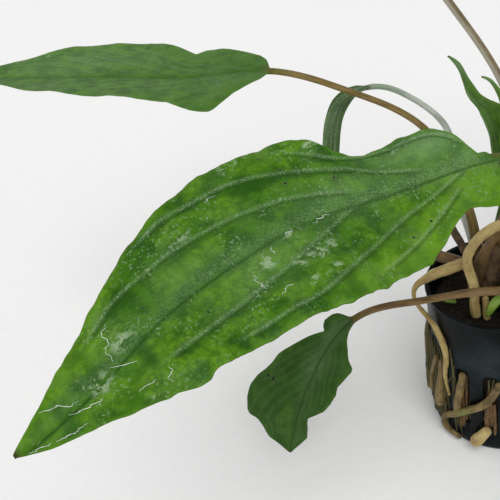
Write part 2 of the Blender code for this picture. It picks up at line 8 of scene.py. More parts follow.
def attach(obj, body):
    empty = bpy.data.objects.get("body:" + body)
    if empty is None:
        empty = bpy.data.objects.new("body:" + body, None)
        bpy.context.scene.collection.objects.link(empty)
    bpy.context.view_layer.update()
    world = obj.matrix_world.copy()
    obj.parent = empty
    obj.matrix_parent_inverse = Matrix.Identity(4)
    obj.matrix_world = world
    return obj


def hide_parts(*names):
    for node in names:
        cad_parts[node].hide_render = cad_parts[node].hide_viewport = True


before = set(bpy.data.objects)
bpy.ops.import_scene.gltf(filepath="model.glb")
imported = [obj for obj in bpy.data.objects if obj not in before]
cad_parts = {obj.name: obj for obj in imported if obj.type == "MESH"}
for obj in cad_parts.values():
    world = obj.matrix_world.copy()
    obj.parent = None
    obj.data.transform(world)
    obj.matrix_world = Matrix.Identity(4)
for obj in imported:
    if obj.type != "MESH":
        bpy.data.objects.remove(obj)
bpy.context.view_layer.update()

# A cryptocoryne in a slotted growing pot. Shapes are worked out in millimetres, with the pot's axis on Z,
# its foot on z = 0 and its front towards -Y, and go into the meshes in metres.
mm = 0.001
print("frame loaded")


# numbers and curves
def unit(vectors):
    # each vector divided by its own length
    return vectors / np.linalg.norm(vectors, axis=-1, keepdims=True)


def ease(x):
    # 3x^2 - 2x^3 from 0 to 1, level at both ends
    x = np.clip(x, 0, 1)
    return x * x * (3 - 2 * x)


def bell(distance, width):
    # e to the power -(distance / width)^2
    return np.exp(-(distance / width) ** 2)


def chordKnots(points):
    # distance along straight lines from the first point to each point
    spans = np.linalg.norm(np.diff(np.asarray(points, float), axis=0), axis=1)
    return np.concatenate([[0.0], np.cumsum(spans)])


def throughPoints(knots, values, at):
    # natural cubic spline: a*v0 + b*v1 + ((a^3 - a)*m0 + (b^3 - b)*m1) * h^2 / 6, with m the bends
    knots = np.asarray(knots, float)
    values = np.asarray(values, float).reshape(len(knots), -1)
    step = np.diff(knots)
    count = len(knots)
    system = np.eye(count)
    pull = np.zeros_like(values)
    for i in range(1, count - 1):
        system[i, i - 1:i + 2] = step[i - 1], 2 * (step[i - 1] + step[i]), step[i]
        pull[i] = 6 * ((values[i + 1] - values[i]) / step[i] - (values[i] - values[i - 1]) / step[i - 1])
    bend = np.linalg.solve(system, pull)
    k = np.clip(np.searchsorted(knots, at, side="right") - 1, 0, count - 2)
    b = ((at - knots[k]) / step[k])[:, None]
    a = 1 - b
    size = (step[k] ** 2)[:, None]
    return a * values[k] + b * values[k + 1] + ((a ** 3 - a) * bend[k] + (b ** 3 - b) * bend[k + 1]) * size / 6


noiseLattice = np.random.default_rng(11).random((32, 32, 32))


def softNoise(points, size, shift=0.0):
    # random heights on a cubic lattice of this size in mm, blended by ease() along x, y and z: -1 to 1
    cell = np.asarray(points, float) / size + shift
    whole = np.floor(cell).astype(int)
    part = ease(cell - whole)
    total = np.zeros(cell.shape[:-1])
    for corner in np.ndindex(2, 2, 2):
        corner = np.array(corner)
        weight = np.prod(np.where(corner, part, 1 - part), axis=-1)
        x, y, z = np.moveaxis((whole + corner) % 32, -1, 0)
        total += weight * noiseLattice[x, y, z]
    return 2 * total - 1


# meshes
def ringQuads(rings, sides):
    # joins ring i to ring i + 1, and side j to side j + 1, all the way round
    i, j = np.meshgrid(np.arange(rings - 1), np.arange(sides), indexing="ij")
    a = (i * sides + j).ravel()
    b = (i * sides + (j + 1) % sides).ravel()
    return np.stack([a, b, b + sides, a + sides], axis=1).tolist()


def fanCaps(rings, sides):
    # a pole after the last ring's points closes each end: first the near one, then the far one
    j = np.arange(sides)
    k = (j + 1) % sides
    near = np.stack([k, j, np.full(sides, rings * sides)], axis=1).tolist()
    last = (rings - 1) * sides
    far = np.stack([last + j, last + k, np.full(sides, rings * sides + 1)], axis=1).tolist()
    return near + far


def addPiece(name, points, faces, finish, nodes=(), marks=None):
    # one mesh object at the origin, with its marks as attributes for the finish to read
    mesh = bpy.data.meshes.new(name)
    mesh.from_pydata((np.asarray(points) * mm).tolist(), [], faces)
    mesh.shade_smooth()
    for title, numbers in (marks or {}).items():
        numbers = np.asarray(numbers, np.float32)
        if numbers.ndim == 2:
            mesh.attributes.new(title, "FLOAT_VECTOR", "POINT").data.foreach_set("vector", numbers.ravel())
        else:
            mesh.attributes.new(title, "FLOAT", "POINT").data.foreach_set("value", numbers)
    mesh.materials.append(finish)
    piece = bpy.data.objects.new(name, mesh)
    bpy.context.scene.collection.objects.link(piece)
    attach(piece, "root")
    if nodes:
        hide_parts(*nodes)
    return piece


# finishes
class Finish:
    # one procedural material: every call adds a node and gives back what comes out of it
    def __init__(self, name, **fixed):
        self.material = bpy.data.materials.new(name)
        self.material.use_nodes = True
        self.nodes = self.material.node_tree.nodes
        self.links = self.material.node_tree.links
        self.shader = self.nodes["Principled BSDF"]
        for socket, value in fixed.items():
            self.shader.inputs[socket.replace("_", " ")].default_value = value

    def put(self, socket, value):
        if isinstance(value, bpy.types.NodeSocket):
            self.links.new(value, socket)
        elif isinstance(value, tuple) and socket.type == "RGBA":
            socket.default_value = (*value, 1)
        else:
            socket.default_value = value

    def mark(self, title):
        node = self.nodes.new("ShaderNodeAttribute")
        node.attribute_name = title
        return node.outputs["Fac"]

    def along(self, title):
        node = self.nodes.new("ShaderNodeAttribute")
        node.attribute_name = title
        return node.outputs["Vector"]

    def here(self):
        return self.nodes.new("ShaderNodeTexCoord").outputs["Object"]

    def stretched(self, where, x, y, z):
        node = self.nodes.new("ShaderNodeMapping")
        self.put(node.inputs["Vector"], where)
        node.inputs["Scale"].default_value = (x, y, z)
        return node.outputs["Vector"]

    def noise(self, where, size, detail=3, low=0.35, high=0.65, rough=0.55, warp=0.0):
        node = self.nodes.new("ShaderNodeTexNoise")
        self.put(node.inputs["Vector"], where)
        node.inputs["Scale"].default_value = 1 / (size * mm)
        node.inputs["Detail"].default_value = detail
        node.inputs["Roughness"].default_value = rough
        node.inputs["Distortion"].default_value = warp
        return self.spread(node.outputs["Fac"], low, high)

    def cells(self, where, size, feature="DISTANCE_TO_EDGE", low=0.0, high=0.15):
        node = self.nodes.new("ShaderNodeTexVoronoi")
        node.feature = feature
        self.put(node.inputs["Vector"], where)
        node.inputs["Scale"].default_value = 1 / (size * mm)
        return self.spread(node.outputs["Distance"], low, high)

    def spread(self, value, low, high, first=0.0, last=1.0):
        node = self.nodes.new("ShaderNodeMapRange")
        node.interpolation_type = "SMOOTHSTEP"
        self.put(node.inputs["Value"], value)
        for socket, number in zip(("From Min", "From Max", "To Min", "To Max"), (low, high, first, last)):
            node.inputs[socket].default_value = number
        return node.outputs["Result"]

    def sum(self, operation, first, second, clamp=False):
        node = self.nodes.new("ShaderNodeMath")
        node.operation = operation
        node.use_clamp = clamp
        self.put(node.inputs[0], first)
        self.put(node.inputs[1], second)
        return node.outputs["Value"]

    def times(self, first, second):
        return self.sum("MULTIPLY", first, second)

    def plus(self, first, second):
        return self.sum("ADD", first, second)

    def blend(self, share, first, second):
        node = self.nodes.new("ShaderNodeMix")
        node.data_type = "RGBA"
        node.clamp_factor = True
        self.put(node.inputs["Factor"], share)
        self.put([s for s in node.inputs if s.name == "A" and s.type == "RGBA"][0], first)
        self.put([s for s in node.inputs if s.name == "B" and s.type == "RGBA"][0], second)
        return [s for s in node.outputs if s.type == "RGBA"][0]

    def bump(self, height, depth, strength=1.0, over=None):
        node = self.nodes.new("ShaderNodeBump")
        node.inputs["Strength"].default_value = strength
        node.inputs["Distance"].default_value = depth * mm
        self.put(node.inputs["Height"], height)
        if over is not None:
            self.links.new(over, node.inputs["Normal"])
        return node.outputs["Normal"]

    def done(self, colour, roughness, normal=None):
        self.put(self.shader.inputs["Base Color"], colour)
        self.put(self.shader.inputs["Roughness"], roughness)
        if normal is not None:
            self.links.new(normal, self.shader.inputs["Normal"])
        return self.material


# camera, floor and light
cameraView = {"place": (0.0, -223.8, 232.85), "target": (-92.37, 14.54, 60.0), "roll": -12.25,
              "lens": 57.6, "sensor": 36.0}


def addCamera(view):
    # looks from place to target, and the picture is turned about that line by roll degrees
    ahead = unit(np.subtract(view["target"], view["place"]))
    level = unit(np.cross(ahead, [0, 0, 1]))
    upright = np.cross(level, ahead)
    turn = math.radians(view["roll"])
    right = math.cos(turn) * level + math.sin(turn) * upright
    up = math.cos(turn) * upright - math.sin(turn) * level
    data = bpy.data.cameras.new("photoCamera")
    data.lens = view["lens"]
    data.sensor_width = view["sensor"]
    data.clip_start = 0.01
    camera = bpy.data.objects.new("photoCamera", data)
    world = np.eye(4)
    world[:3, 0], world[:3, 1], world[:3, 2] = right, up, -ahead
    world[:3, 3] = np.array(view["place"]) * mm
    camera.matrix_world = Matrix(world.tolist())
    bpy.context.scene.collection.objects.link(camera)
    bpy.context.scene.camera = camera


studio = {"skyColour": (1.0, 1.0, 1.0), "sky": 0.60, "sun": 1.40, "sunSpread": 40.0, "sunTilt": (36.0, 0.0, 20.0),
          "floorTone": (0.95, 0.95, 0.945), "floorReach": 4.0}


def addStudio(look):
    # an even pale sky and one broad light from above
    scene = bpy.context.scene
    scene.view_settings.view_transform = "Standard"
    world = bpy.data.worlds.new("studioSky")
    world.use_nodes = True
    world.node_tree.nodes["Background"].inputs["Color"].default_value = (*look["skyColour"], 1)
    world.node_tree.nodes["Background"].inputs["Strength"].default_value = look["sky"]
    scene.world = world

    sun = bpy.data.lights.new("broadLight", "SUN")
    sun.energy = look["sun"]
    sun.angle = math.radians(look["sunSpread"])
    sunObject = bpy.data.objects.new("broadLight", sun)
    sunObject.rotation_euler = [math.radians(a) for a in look["sunTilt"]]
    scene.collection.objects.link(sunObject)

    reach = look["floorReach"]
    mesh = bpy.data.meshes.new("paleFloor")
    mesh.from_pydata([(-reach, -reach, 0), (reach, -reach, 0), (reach, reach, 0), (-reach, reach, 0)], [],
                     [(0, 1, 2, 3)])
    kit = Finish("floorFinish")
    grain = kit.noise(kit.here(), 4.0, 2)
    tone = look["floorTone"]
    mesh.materials.append(kit.done(kit.blend(grain, tone, tuple(t * 0.985 for t in tone)), 0.85))
    floor = bpy.data.objects.new("paleFloor", mesh)
    scene.collection.objects.link(floor)


addCamera(cameraView)
addStudio(studio)
print("camera, floor and light made")


# leaves
# stalk and blade are points along the middle, in mm, from the crown to the tip. left and right are
# half-widths, seen from above with the tip away: at even steps and rounded off at the base, or as pairs
# of share and width. roll tips the blade round its midrib, fold lifts both margins, in mm, wave is the
# height, the number and the two starting phases of the margins' ripples, and opens is the share of the
# blade over which the oval stalk flattens. film, specks, the patches of painted sheen and the patches of
# painted light shining through the blade are patches: the share along the blade, the mm across it, how
# long and wide they are, and how strong.
def fittedWidths(width, stations=9, widest=0.36, point=0.85):
    # width / 2 * (u / widest)^rise * ((1 - u) / (1 - widest))^point
    rise = point * widest / (1 - widest)
    u = np.clip(np.linspace(0, 1, stations), 0.02, 0.98)
    return (width / 2 * (u / widest) ** rise * ((1 - u) / (1 - widest)) ** point).tolist()


def leafLine(leaf):
    # path points, their distances along it, and the distance at which the blade starts
    path = np.array(leaf["stalk"] + leaf["blade"], float)
    knots = chordKnots(path)
    return path, knots, knots[len(leaf["stalk"])]


def leafFrames(leaf, at):
    # middle, direction, side and up at distances along the leaf; the side stays level, then rolls
    path, knots, base = leafLine(leaf)
    u = np.clip((at - base) / (knots[-1] - base), 0, 1)
    middle = throughPoints(knots, path, at)
    small = knots[-1] * 1e-3
    tangent = unit(throughPoints(knots, path, np.clip(at + small, 0, knots[-1]))
                   - throughPoints(knots, path, np.clip(at - small, 0, knots[-1])))
    heading = unit((path[-1] - path[len(leaf["stalk"])]) * [1, 1, 0])
    side = np.cross(heading, [0, 0, 1])
    side = unit(side - tangent * (tangent @ side)[:, None])
    up = np.cross(side, tangent)
    roll = np.radians(leaf["roll"][0] + (leaf["roll"][1] - leaf["roll"][0]) * u) * ease(at / base)
    c, s = np.cos(roll)[:, None], np.sin(roll)[:, None]
    return u, middle, tangent, c * side + s * up, c * up - s * side


def widthsAt(widths, u):
    # half-width in mm at each share u: a spline times a quarter circle at the base, or a drawn outline
    # whose corners are rounded by a running bell-shaped average
    if np.ndim(widths[0]) == 0:
        rounded = np.sqrt(1 - (1 - np.clip(u / 0.11, 0, 1)) ** 2)
        return throughPoints(np.linspace(0, 1, len(widths)), widths, u)[:, 0] * rounded
    knots, values = np.array(widths, float).T
    fine = np.linspace(-0.02, 1.02, 1041)
    share = bell(np.arange(-8, 9), 3.5)
    return np.interp(u, fine, np.convolve(np.interp(fine, knots, values), share / share.sum(), mode="same"))


def stalkRadius(leaf, at, base):
    first, last = leaf["stalkRadii"]
    return first + (last - first) * ease(at / base * 1.4)


def veinLines(leaf, u, left, right):
    # for each lateral vein: its distance from the midrib at every u, and how strong it is there
    lines = []
    if "veins" in leaf:
        for points in leaf["veins"]:
            knots, places = np.array(points, float).T
            inside = ease((u - knots[0]) / 0.03) * ease((knots[-1] - u) / 0.06)
            lines.append((throughPoints(knots, places, np.clip(u, knots[0], knots[-1]))[:, 0], inside))
        return lines
    for k in range(leaf.get("veinCount", 5)):
        for half, sign, late in ((left, -1, 0.0), (right, 1, 0.035)):
            start = 0.02 + 0.125 * k + late
            t = np.clip((u - start) / 0.56, 0, 1)
            lines.append((sign * half * 0.94 * t ** 0.85, ease(t / 0.05) * ease((1 - t) / 0.2)))
    return lines


def bladeShape(leaf):
    # middle + side*x + up*z: x = half-width*v, z = fold*|v|^1.3 + ripple + relief, half a thickness up or down
    rows, columns = leaf["grid"]
    path, knots, base = leafLine(leaf)
    length = knots[-1] - base
    u = np.linspace(0, 1, rows) ** 1.2
    at = base + length * u
    _, middle, tangent, side, up = leafFrames(leaf, at)
    e = np.linspace(-1, 1, columns)
    v = 0.72 * e + 0.28 * np.sin(np.pi * e / 2)
    inBlade = ease(u / leaf["opens"])[:, None]
    stalk = stalkRadius(leaf, at, base)
    s = at - base
    halves = []
    for k, name in enumerate(("left", "right")):
        spot = np.stack([s, np.zeros(rows), np.full(rows, 40.0 * k + leaf["seed"])], axis=1)
        ragged = leaf["ragged"] * (softNoise(spot, 5.5) + 0.5 * softNoise(spot, 2.2))
        half = np.maximum(widthsAt(leaf[name], u) + ragged * ease(u / 0.15) * ease((1 - u) / 0.15), 0.3)
        halves.append(np.where(u > 0.5, half, np.maximum(half, stalk)))
    left, right = halves

    reach = np.where(v < 0, left[:, None], right[:, None])
    flatX = reach * v
    roundX = stalk[:, None] * np.sin(np.pi * v / 2)
    x = roundX + (flatX - roundX) * inBlade
    sGrid = np.broadcast_to(s[:, None], x.shape)
    spot = np.stack([sGrid, x * 1.15, np.full(x.shape, 7.0 * leaf["seed"])], axis=-1)

    # veins: the nearest one's bell, and how far off it is
    vein = np.zeros(x.shape)
    veinSideHighlight = np.zeros(x.shape)
    gap = np.abs(x)
    for line, strength in veinLines(leaf, u, left, right):
        slope = np.gradient(line, s)
        offset = (x - line[:, None]) / np.sqrt(1 + slope ** 2)[:, None]
        vein = np.maximum(vein, strength[:, None] * bell(offset, leaf["veinWidth"]))
        veinSideHighlight = np.maximum(veinSideHighlight, strength[:, None] * bell(offset - leaf["veinWidth"] - 0.35, 0.42))
        gap = np.minimum(gap, np.abs(offset) + 6 * (1 - strength[:, None]))

    fold = leaf["fold"][0] + (leaf["fold"][1] - leaf["fold"][0]) * u
    height, count, phaseLeft, phaseRight = leaf["wave"]
    phase = np.where(v < 0, phaseLeft, phaseRight)
    ripple = height * np.sin(2 * np.pi * (count * u[:, None] + phase)) * np.abs(v) ** 3
    for lifted, toward in (("leftLift", -1), ("rightLift", 1)):
        if lifted in leaf:
            lift = throughPoints(np.linspace(0, 1, len(leaf[lifted])), leaf[lifted], u)
            ripple = ripple + lift * np.clip(toward * v, 0, 1) ** 2
    strength = inBlade * (np.sin(np.pi * u) ** 0.4)[:, None]
    margin = np.clip(reach * (1 - np.abs(v)) / 3.0, 0, 1)
    quilt = 0.7 * softNoise(spot, leaf["quiltSize"]) + 0.5 * softNoise(spot, leaf["quiltSize"] * 0.45, 5.3)
    lift = quilt * np.clip(gap / 2.5, 0.15, 1)
    puff = 1 - bell(gap, 2.6)
    crinkle = leaf["crinkle"] * (softNoise(spot, 3.2, 9.1) + 0.6 * softNoise(spot, 1.5, 3.3)) * np.abs(v) ** 10
    arch = (fold[:, None] * np.abs(v) ** 1.3 + ripple) * strength
    relief = (leaf["quilt"] * lift * (0.35 + 0.65 * margin) + leaf["puff"] * puff * margin
              - leaf["veinDepth"] * vein + crinkle) * strength

    thin = 0.26 - 0.12 * u[:, None]
    edge = np.sqrt(1 - v ** 4)
    sheet = thin * edge
    groove = leaf["groove"] * bell(x, 0.8) * (1 - u[:, None]) ** 0.6
    rib = leaf["rib"] * (1 - u[:, None]) ** 0.8 * bell(x, 1.25) * edge
    oval = 0.85 * stalk[:, None] * np.sqrt(1 - np.sin(np.pi * v / 2) ** 2)
    top = arch + oval + (sheet - groove - oval) * inBlade + relief
    bottom = arch - oval - (sheet + rib - oval) * inBlade + relief - 0.25 * leaf["veinDepth"] * vein * strength
    back = leaf["lobe"] * v ** 2 * (1 - u[:, None]) ** 6 * inBlade

    def placed(z):
        return (middle[:, None, :] + side[:, None, :] * x[..., None] + up[:, None, :] * z[..., None]
                - tangent[:, None, :] * back[..., None])

    def patches(kind):
        strong = np.zeros(x.shape)
        for share, across, long, wide, amount in leaf.get(kind, ()):
            away = np.hypot((sGrid - share * length) / long, (x - across) / wide)
            strong = np.maximum(strong, amount * bell(away, 1.0))
        return strong

    marks = {
        "rib": bell(x, leaf["ribBand"]) * ((1 - u[:, None]) ** 0.7),
        "ribLine": bell(x - leaf.get("ribLineAt", 0.0), 0.42) * np.ones_like(x),
        "vein": vein,
        "veinSideHighlight": veinSideHighlight,
        "lift": 0.5 + 0.5 * np.clip(lift + 0.5 * puff - 0.25, -1, 1),
        "edge": bell(reach * (1 - np.abs(v)), 0.8) * inBlade,
        "film": patches("film"),
        "haze": patches("haze"),
        "sunny": patches("sunny"),
        "speck": patches("specks"),
        "shade": np.broadcast_to(leaf["shade"] * (1 - ease(u / 0.55))[:, None], x.shape),
        "toStalk": (1 - ease(u / 0.05))[:, None] * bell(x, 3.0),
        "tip": np.broadcast_to(ease((u - 0.985) / 0.015)[:, None], x.shape),
    }
    return placed(top), placed(bottom), marks, np.stack([sGrid, x, np.zeros_like(x)], axis=-1)


def addPaintedGlints(leaf, top, flat):
    # painted glints: hair-thin pale curly lines that lie on the blade where the water film's edges catch the light;
    # their (share, across) points are looked up on its upper face
    rows = len(top)
    dice = np.random.default_rng(5)
    points, faces, start = [], [], 0
    for line in leaf["paintedGlintLines"]:
        knots = chordKnots([(share * 140, across) for share, across in line])
        at = np.linspace(0, knots[-1], max(8, int(knots[-1] * 5)))
        drawn = throughPoints(knots, line, at)
        curl = (dice.uniform(0.15, 0.40) * np.sin(at * dice.uniform(1.6, 3.2) + dice.uniform(0, 6))
                + 0.12 * np.sin(at * dice.uniform(5, 8)))
        row = np.clip(drawn[:, 0] + curl / 140, 0, 1) * (rows - 1)
        k = np.clip(row.astype(int), 0, rows - 2)
        part = (row - k)[:, None]
        spots = []
        for r in (0, 1):
            spots.append([[np.interp(across, flat[i, :, 1], top[i, :, c]) for c in range(3)]
                          for i, across in zip(k + r, drawn[:, 1] + curl)])
        middle = np.array(spots[0]) * (1 - part) + np.array(spots[1]) * part + [0, 0, 0.10]
        tangent = unit(np.gradient(middle, axis=0))
        side = unit(np.cross(tangent, [0.1, 0.2, 1.0]))
        up = np.cross(tangent, side)
        turn = np.linspace(0, 2 * np.pi, 6, endpoint=False)[:, None]
        thick = 0.075 * (0.35 + 0.65 * np.sin(np.pi * np.linspace(0.05, 0.95, len(at))))[:, None, None]
        rings = middle[:, None] + thick * (side[:, None] * np.cos(turn) + up[:, None] * np.sin(turn))
        points += [rings.reshape(-1, 3), middle[[0, -1]]]
        faces += [[start + i for i in face] for face in ringQuads(len(at), 6) + fanCaps(len(at), 6)]
        start += 6 * len(at) + 2
    kit = Finish("paintedGlintFinish", Specular_IOR_Level=0.3)
    tone = kit.blend(kit.noise(kit.here(), 1.2, 3, 0.40, 0.60), (0.50, 0.58, 0.48), (0.85, 0.90, 0.84))
    addPiece(leaf["title"] + "PaintedGlints", np.concatenate(points), faces, kit.done(tone, 0.5))


def addBlade(node, leaf, finish):
    # upper and lower faces joined along the margins, with strips of faces closing both ends
    top, bottom, marks, flat = bladeShape(leaf)
    rows, columns = top.shape[:2]
    sides = 2 * columns - 2

    def goRound(upper, lower):
        return np.concatenate([upper, lower[:, -2:0:-1]], axis=1)

    if "paintedGlintLines" in leaf:
        addPaintedGlints(leaf, top, flat)
    points = goRound(top, bottom).reshape(-1, 3)
    ringMarks = {title: goRound(values, values).ravel() for title, values in marks.items()}
    ringMarks["under"] = goRound(np.zeros((rows, columns)), np.ones((rows, columns))).ravel()
    ringMarks["leafPlace"] = goRound(flat, flat + [0, 0, 30]).reshape(-1, 3) * mm
    faces = ringQuads(rows, sides)
    upper = np.arange(columns)
    lower = (sides - upper) % sides
    for start, order in ((0, -1), ((rows - 1) * sides, 1)):
        for j in range(columns - 1):
            corners = [upper[j], upper[j + 1], lower[j + 1], lower[j]][::order]
            faces.append([int(start + c) for c in dict.fromkeys(corners)])
    return addPiece(leaf["title"] + "Blade", points, faces, finish, (node,), ringMarks)


def addStalk(node, leaf, finish):
    # an oval tube along the leaf's middle, grooved lengthwise, with a wide clasping sheath at its foot
    path, knots, base = leafLine(leaf)
    rows, sides = 90, 20
    at = np.linspace(0, base + 0.012 * (knots[-1] - base), rows)
    _, middle, tangent, side, up = leafFrames(leaf, at)
    radius = stalkRadius(leaf, at, base)
    foot = ease(1 - at / leaf["sheathLong"])
    turn = np.linspace(0, 2 * np.pi, sides, endpoint=False)[None, :]
    spot = np.stack(np.broadcast_arrays(at[:, None] * 0.35, 3 * np.cos(turn), 3 * np.sin(turn) + leaf["seed"]), -1)
    grown = radius[:, None] * (1 + 0.035 * np.cos(5 * turn + 0.02 * at[:, None]) + 0.05 * softNoise(spot, 2.0)
                               + 0.10 * foot[:, None] * softNoise(spot, 1.1, 4.0)) * 0.985
    x = grown * np.sin(turn) * (1 + leaf["sheathWide"] * foot[:, None])
    z = 0.85 * grown * np.cos(turn) * (1 + 0.25 * foot[:, None])
    rings = middle[:, None, :] + side[:, None, :] * x[..., None] + up[:, None, :] * z[..., None]
    points = np.concatenate([rings.reshape(-1, 3), middle[[0, -1]]])
    faces = ringQuads(rows, sides) + fanCaps(rows, sides)
    share = np.broadcast_to((at / base)[:, None], (rows, sides)).ravel()
    around = np.stack(np.broadcast_arrays(at[:, None], 2 * np.cos(turn), 2 * np.sin(turn)), -1).reshape(-1, 3) * mm
    # painted side light: which side of the stalk is paler, as if lit from there
    flank = np.broadcast_to(-leaf.get("flank", 0.0) * np.sin(turn), (rows, sides)).ravel()
    marks = {"share": np.concatenate([share, [0, 1]]), "flank": np.concatenate([flank, [0, 0]]),
             "stalkPlace": np.concatenate([around, around[[0, -1]]])}
    return addPiece(leaf["title"] + "Stalk", points, faces, finish, (node,), marks)


def leafFinish(name, look):
    # mottled green with painted light and shade that follow the quilting, dark veins that are partly painted shade
    # with a painted highlight beside them, a velvety midrib band partly painted as sheen, a film of grime, and painted
    # sheen and painted light shining through the blade laid over it
    kit = Finish(name, Specular_IOR_Level=look["gloss"])
    flat = kit.along("leafPlace")
    mottle = kit.noise(flat, 5.5, 3, 0.40, 0.60)
    fine = kit.noise(flat, 1.7, 4, 0.35, 0.65)
    fineSpeckle = kit.noise(flat, 0.55, 3, 0.42, 0.62)
    colour = kit.blend(mottle, look["deep"], look["middle"])
    # painted light and shade on the relief: raised quilting lighter, hollows near the veins darker
    paintedReliefLight = kit.spread(kit.mark("lift"), 0.40, 0.80)
    colour = kit.blend(kit.times(paintedReliefLight, kit.spread(fine, 0, 1, 0.35, 0.85)), colour, look["light"])
    net = kit.cells(kit.stretched(flat, 0.75, 1.0, 1.0), 2.4, low=0.02, high=0.10)
    colour = kit.blend(kit.spread(net, 0, 1, look["netShare"], 0.0), colour, look["vein"])
    colour = kit.blend(kit.mark("shade"), colour, look["deep"])
    # painted light shining through the thin blade: yellow-green patches
    colour = kit.blend(kit.times(kit.mark("sunny"), kit.spread(mottle, 0, 1, 0.65, 1.0)), colour, look["paintedSunTone"])
    # painted sheen: a pale grey-green veil over the green, broken up by the fine speckle
    veil = kit.times(kit.noise(flat, 13.0, 4, 0.44, 0.66), kit.spread(fineSpeckle, 0, 1, 0.4, 1.0))
    colour = kit.blend(kit.times(veil, look["veil"]), colour, look["paintedSheenTone"])
    # patches of painted sheen, broken up by the fine speckle
    colour = kit.blend(kit.times(kit.mark("haze"), kit.spread(fineSpeckle, 0, 1, 0.7, 1.0)), colour, look["paintedSheenPatchTone"])
    # painted highlight along one side of each vein, broken into pale flecks
    flecks = kit.noise(flat, 0.42, 2, 0.50, 0.60)
    colour = kit.blend(kit.times(kit.mark("veinSideHighlight"), kit.spread(flecks, 0, 1, 0.15, look["veinSideHighlightShare"])), colour,
                       look["filmAndGlintTone"])
    # veins darkened: partly their own darker green, partly painted shade in their sunken grooves
    colour = kit.blend(kit.times(kit.mark("vein"), look["veinShare"]), colour, look["vein"])
    # the midrib band in its own tone: on most leaves a pale grey-green, partly velvety skin and partly painted sheen
    ribBand = kit.times(kit.mark("rib"), kit.spread(fineSpeckle, 0, 1, 0.25 * look["ribShare"], look["ribShare"]))
    colour = kit.blend(ribBand, colour, look["ribTone"])
    # a dark line along the midrib: on the large front leaf it sits below the midrib as painted shadow, on the others it
    # is the midrib's own dark line
    colour = kit.blend(kit.times(kit.mark("ribLine"), look["ribLineShare"]), colour, look["vein"])
    crust = kit.noise(kit.stretched(flat, 0.7, 1.0, 1.0), 1.7, 6, 0.49, 0.54, 0.62, 0.3)
    film = kit.times(kit.spread(kit.mark("film"), 0.12, 0.50), crust)
    colour = kit.blend(kit.times(film, kit.spread(fine, 0, 1, 0.55, 0.95)), colour, look["filmAndGlintTone"])
    grime = kit.times(kit.noise(flat, 9.0, 3, 0.48, 0.62), kit.noise(flat, 0.9, 5, 0.56, 0.62, 0.65))
    colour = kit.blend(kit.times(grime, look["grime"]), colour, look["filmAndGlintTone"])
    colour = kit.blend(kit.times(kit.mark("edge"), look["edgeShare"]), colour, look["light"])
    speck = kit.times(kit.mark("speck"), kit.noise(flat, 0.8, 3, 0.20, 0.55))
    # a faint pale ring round each dark speck: painted glint
    colour = kit.blend(kit.spread(speck, 0.20, 0.34, 0.0, 0.20), colour, look["filmAndGlintTone"])
    colour = kit.blend(kit.spread(speck, 0.32, 0.60), colour, (0.010, 0.012, 0.005))
    under = kit.mark("under")
    underTone = kit.blend(mottle, look["under"], tuple(0.8 * c for c in look["under"]))
    colour = kit.blend(under, colour, underTone)
    colour = kit.blend(kit.mark("toStalk"), colour, look["stalkTone"])
    colour = kit.blend(kit.mark("tip"), colour, (0.05, 0.03, 0.012))
    rough = kit.plus(kit.spread(fine, 0, 1, look["rough"] - 0.06, look["rough"] + 0.10),
                     kit.times(kit.plus(ribBand, under), 0.22))
    rough = kit.plus(rough, kit.times(film, 0.15))
    skin = kit.bump(fineSpeckle, 0.05, 0.35)
    skin = kit.bump(net, 0.10, 0.45, skin)
    return kit.done(colour, rough, kit.bump(fine, 0.16, 0.4, skin))


def stalkFinish(name, look):
    # streaks run lengthwise; the foot is a dark fibrous sheath, the top takes the blade's own tone
    kit = Finish(name, Specular_IOR_Level=0.20)
    place = kit.along("stalkPlace")
    streaks = kit.noise(kit.stretched(place, 0.09, 1.0, 1.0), 0.6, 4, 0.34, 0.66)
    patches = kit.noise(kit.stretched(place, 0.5, 1.0, 1.0), 3.2, 3, 0.38, 0.64)
    colour = kit.blend(streaks, look["dark"], look["middle"])
    colour = kit.blend(kit.times(patches, 0.6), colour, look["light"])
    # painted side light: the lit side of the stalk blended to a paler tone
    colour = kit.blend(kit.times(kit.spread(kit.mark("flank"), 0.1, 0.9), 0.75), colour, look["flank"])
    foot = kit.times(kit.spread(kit.mark("share"), 0.06, 0.30, 1.0, 0.0), kit.spread(streaks, 0, 1, 0.95, 0.55))
    colour = kit.blend(foot, colour, look["foot"])
    speck = kit.noise(kit.stretched(place, 0.6, 1.0, 1.0), 0.35, 2, 0.60, 0.70)
    colour = kit.blend(kit.times(speck, 0.5), colour, tuple(0.35 * c for c in look["dark"]))
    top = kit.spread(kit.mark("share"), look.get("topFrom", 0.93), 1.0)
    colour = kit.blend(top, colour, look["top"])
    bumps = kit.bump(streaks, 0.12, 0.5)
    return kit.done(colour, kit.spread(patches, 0, 1, 0.38, 0.58), bumps)


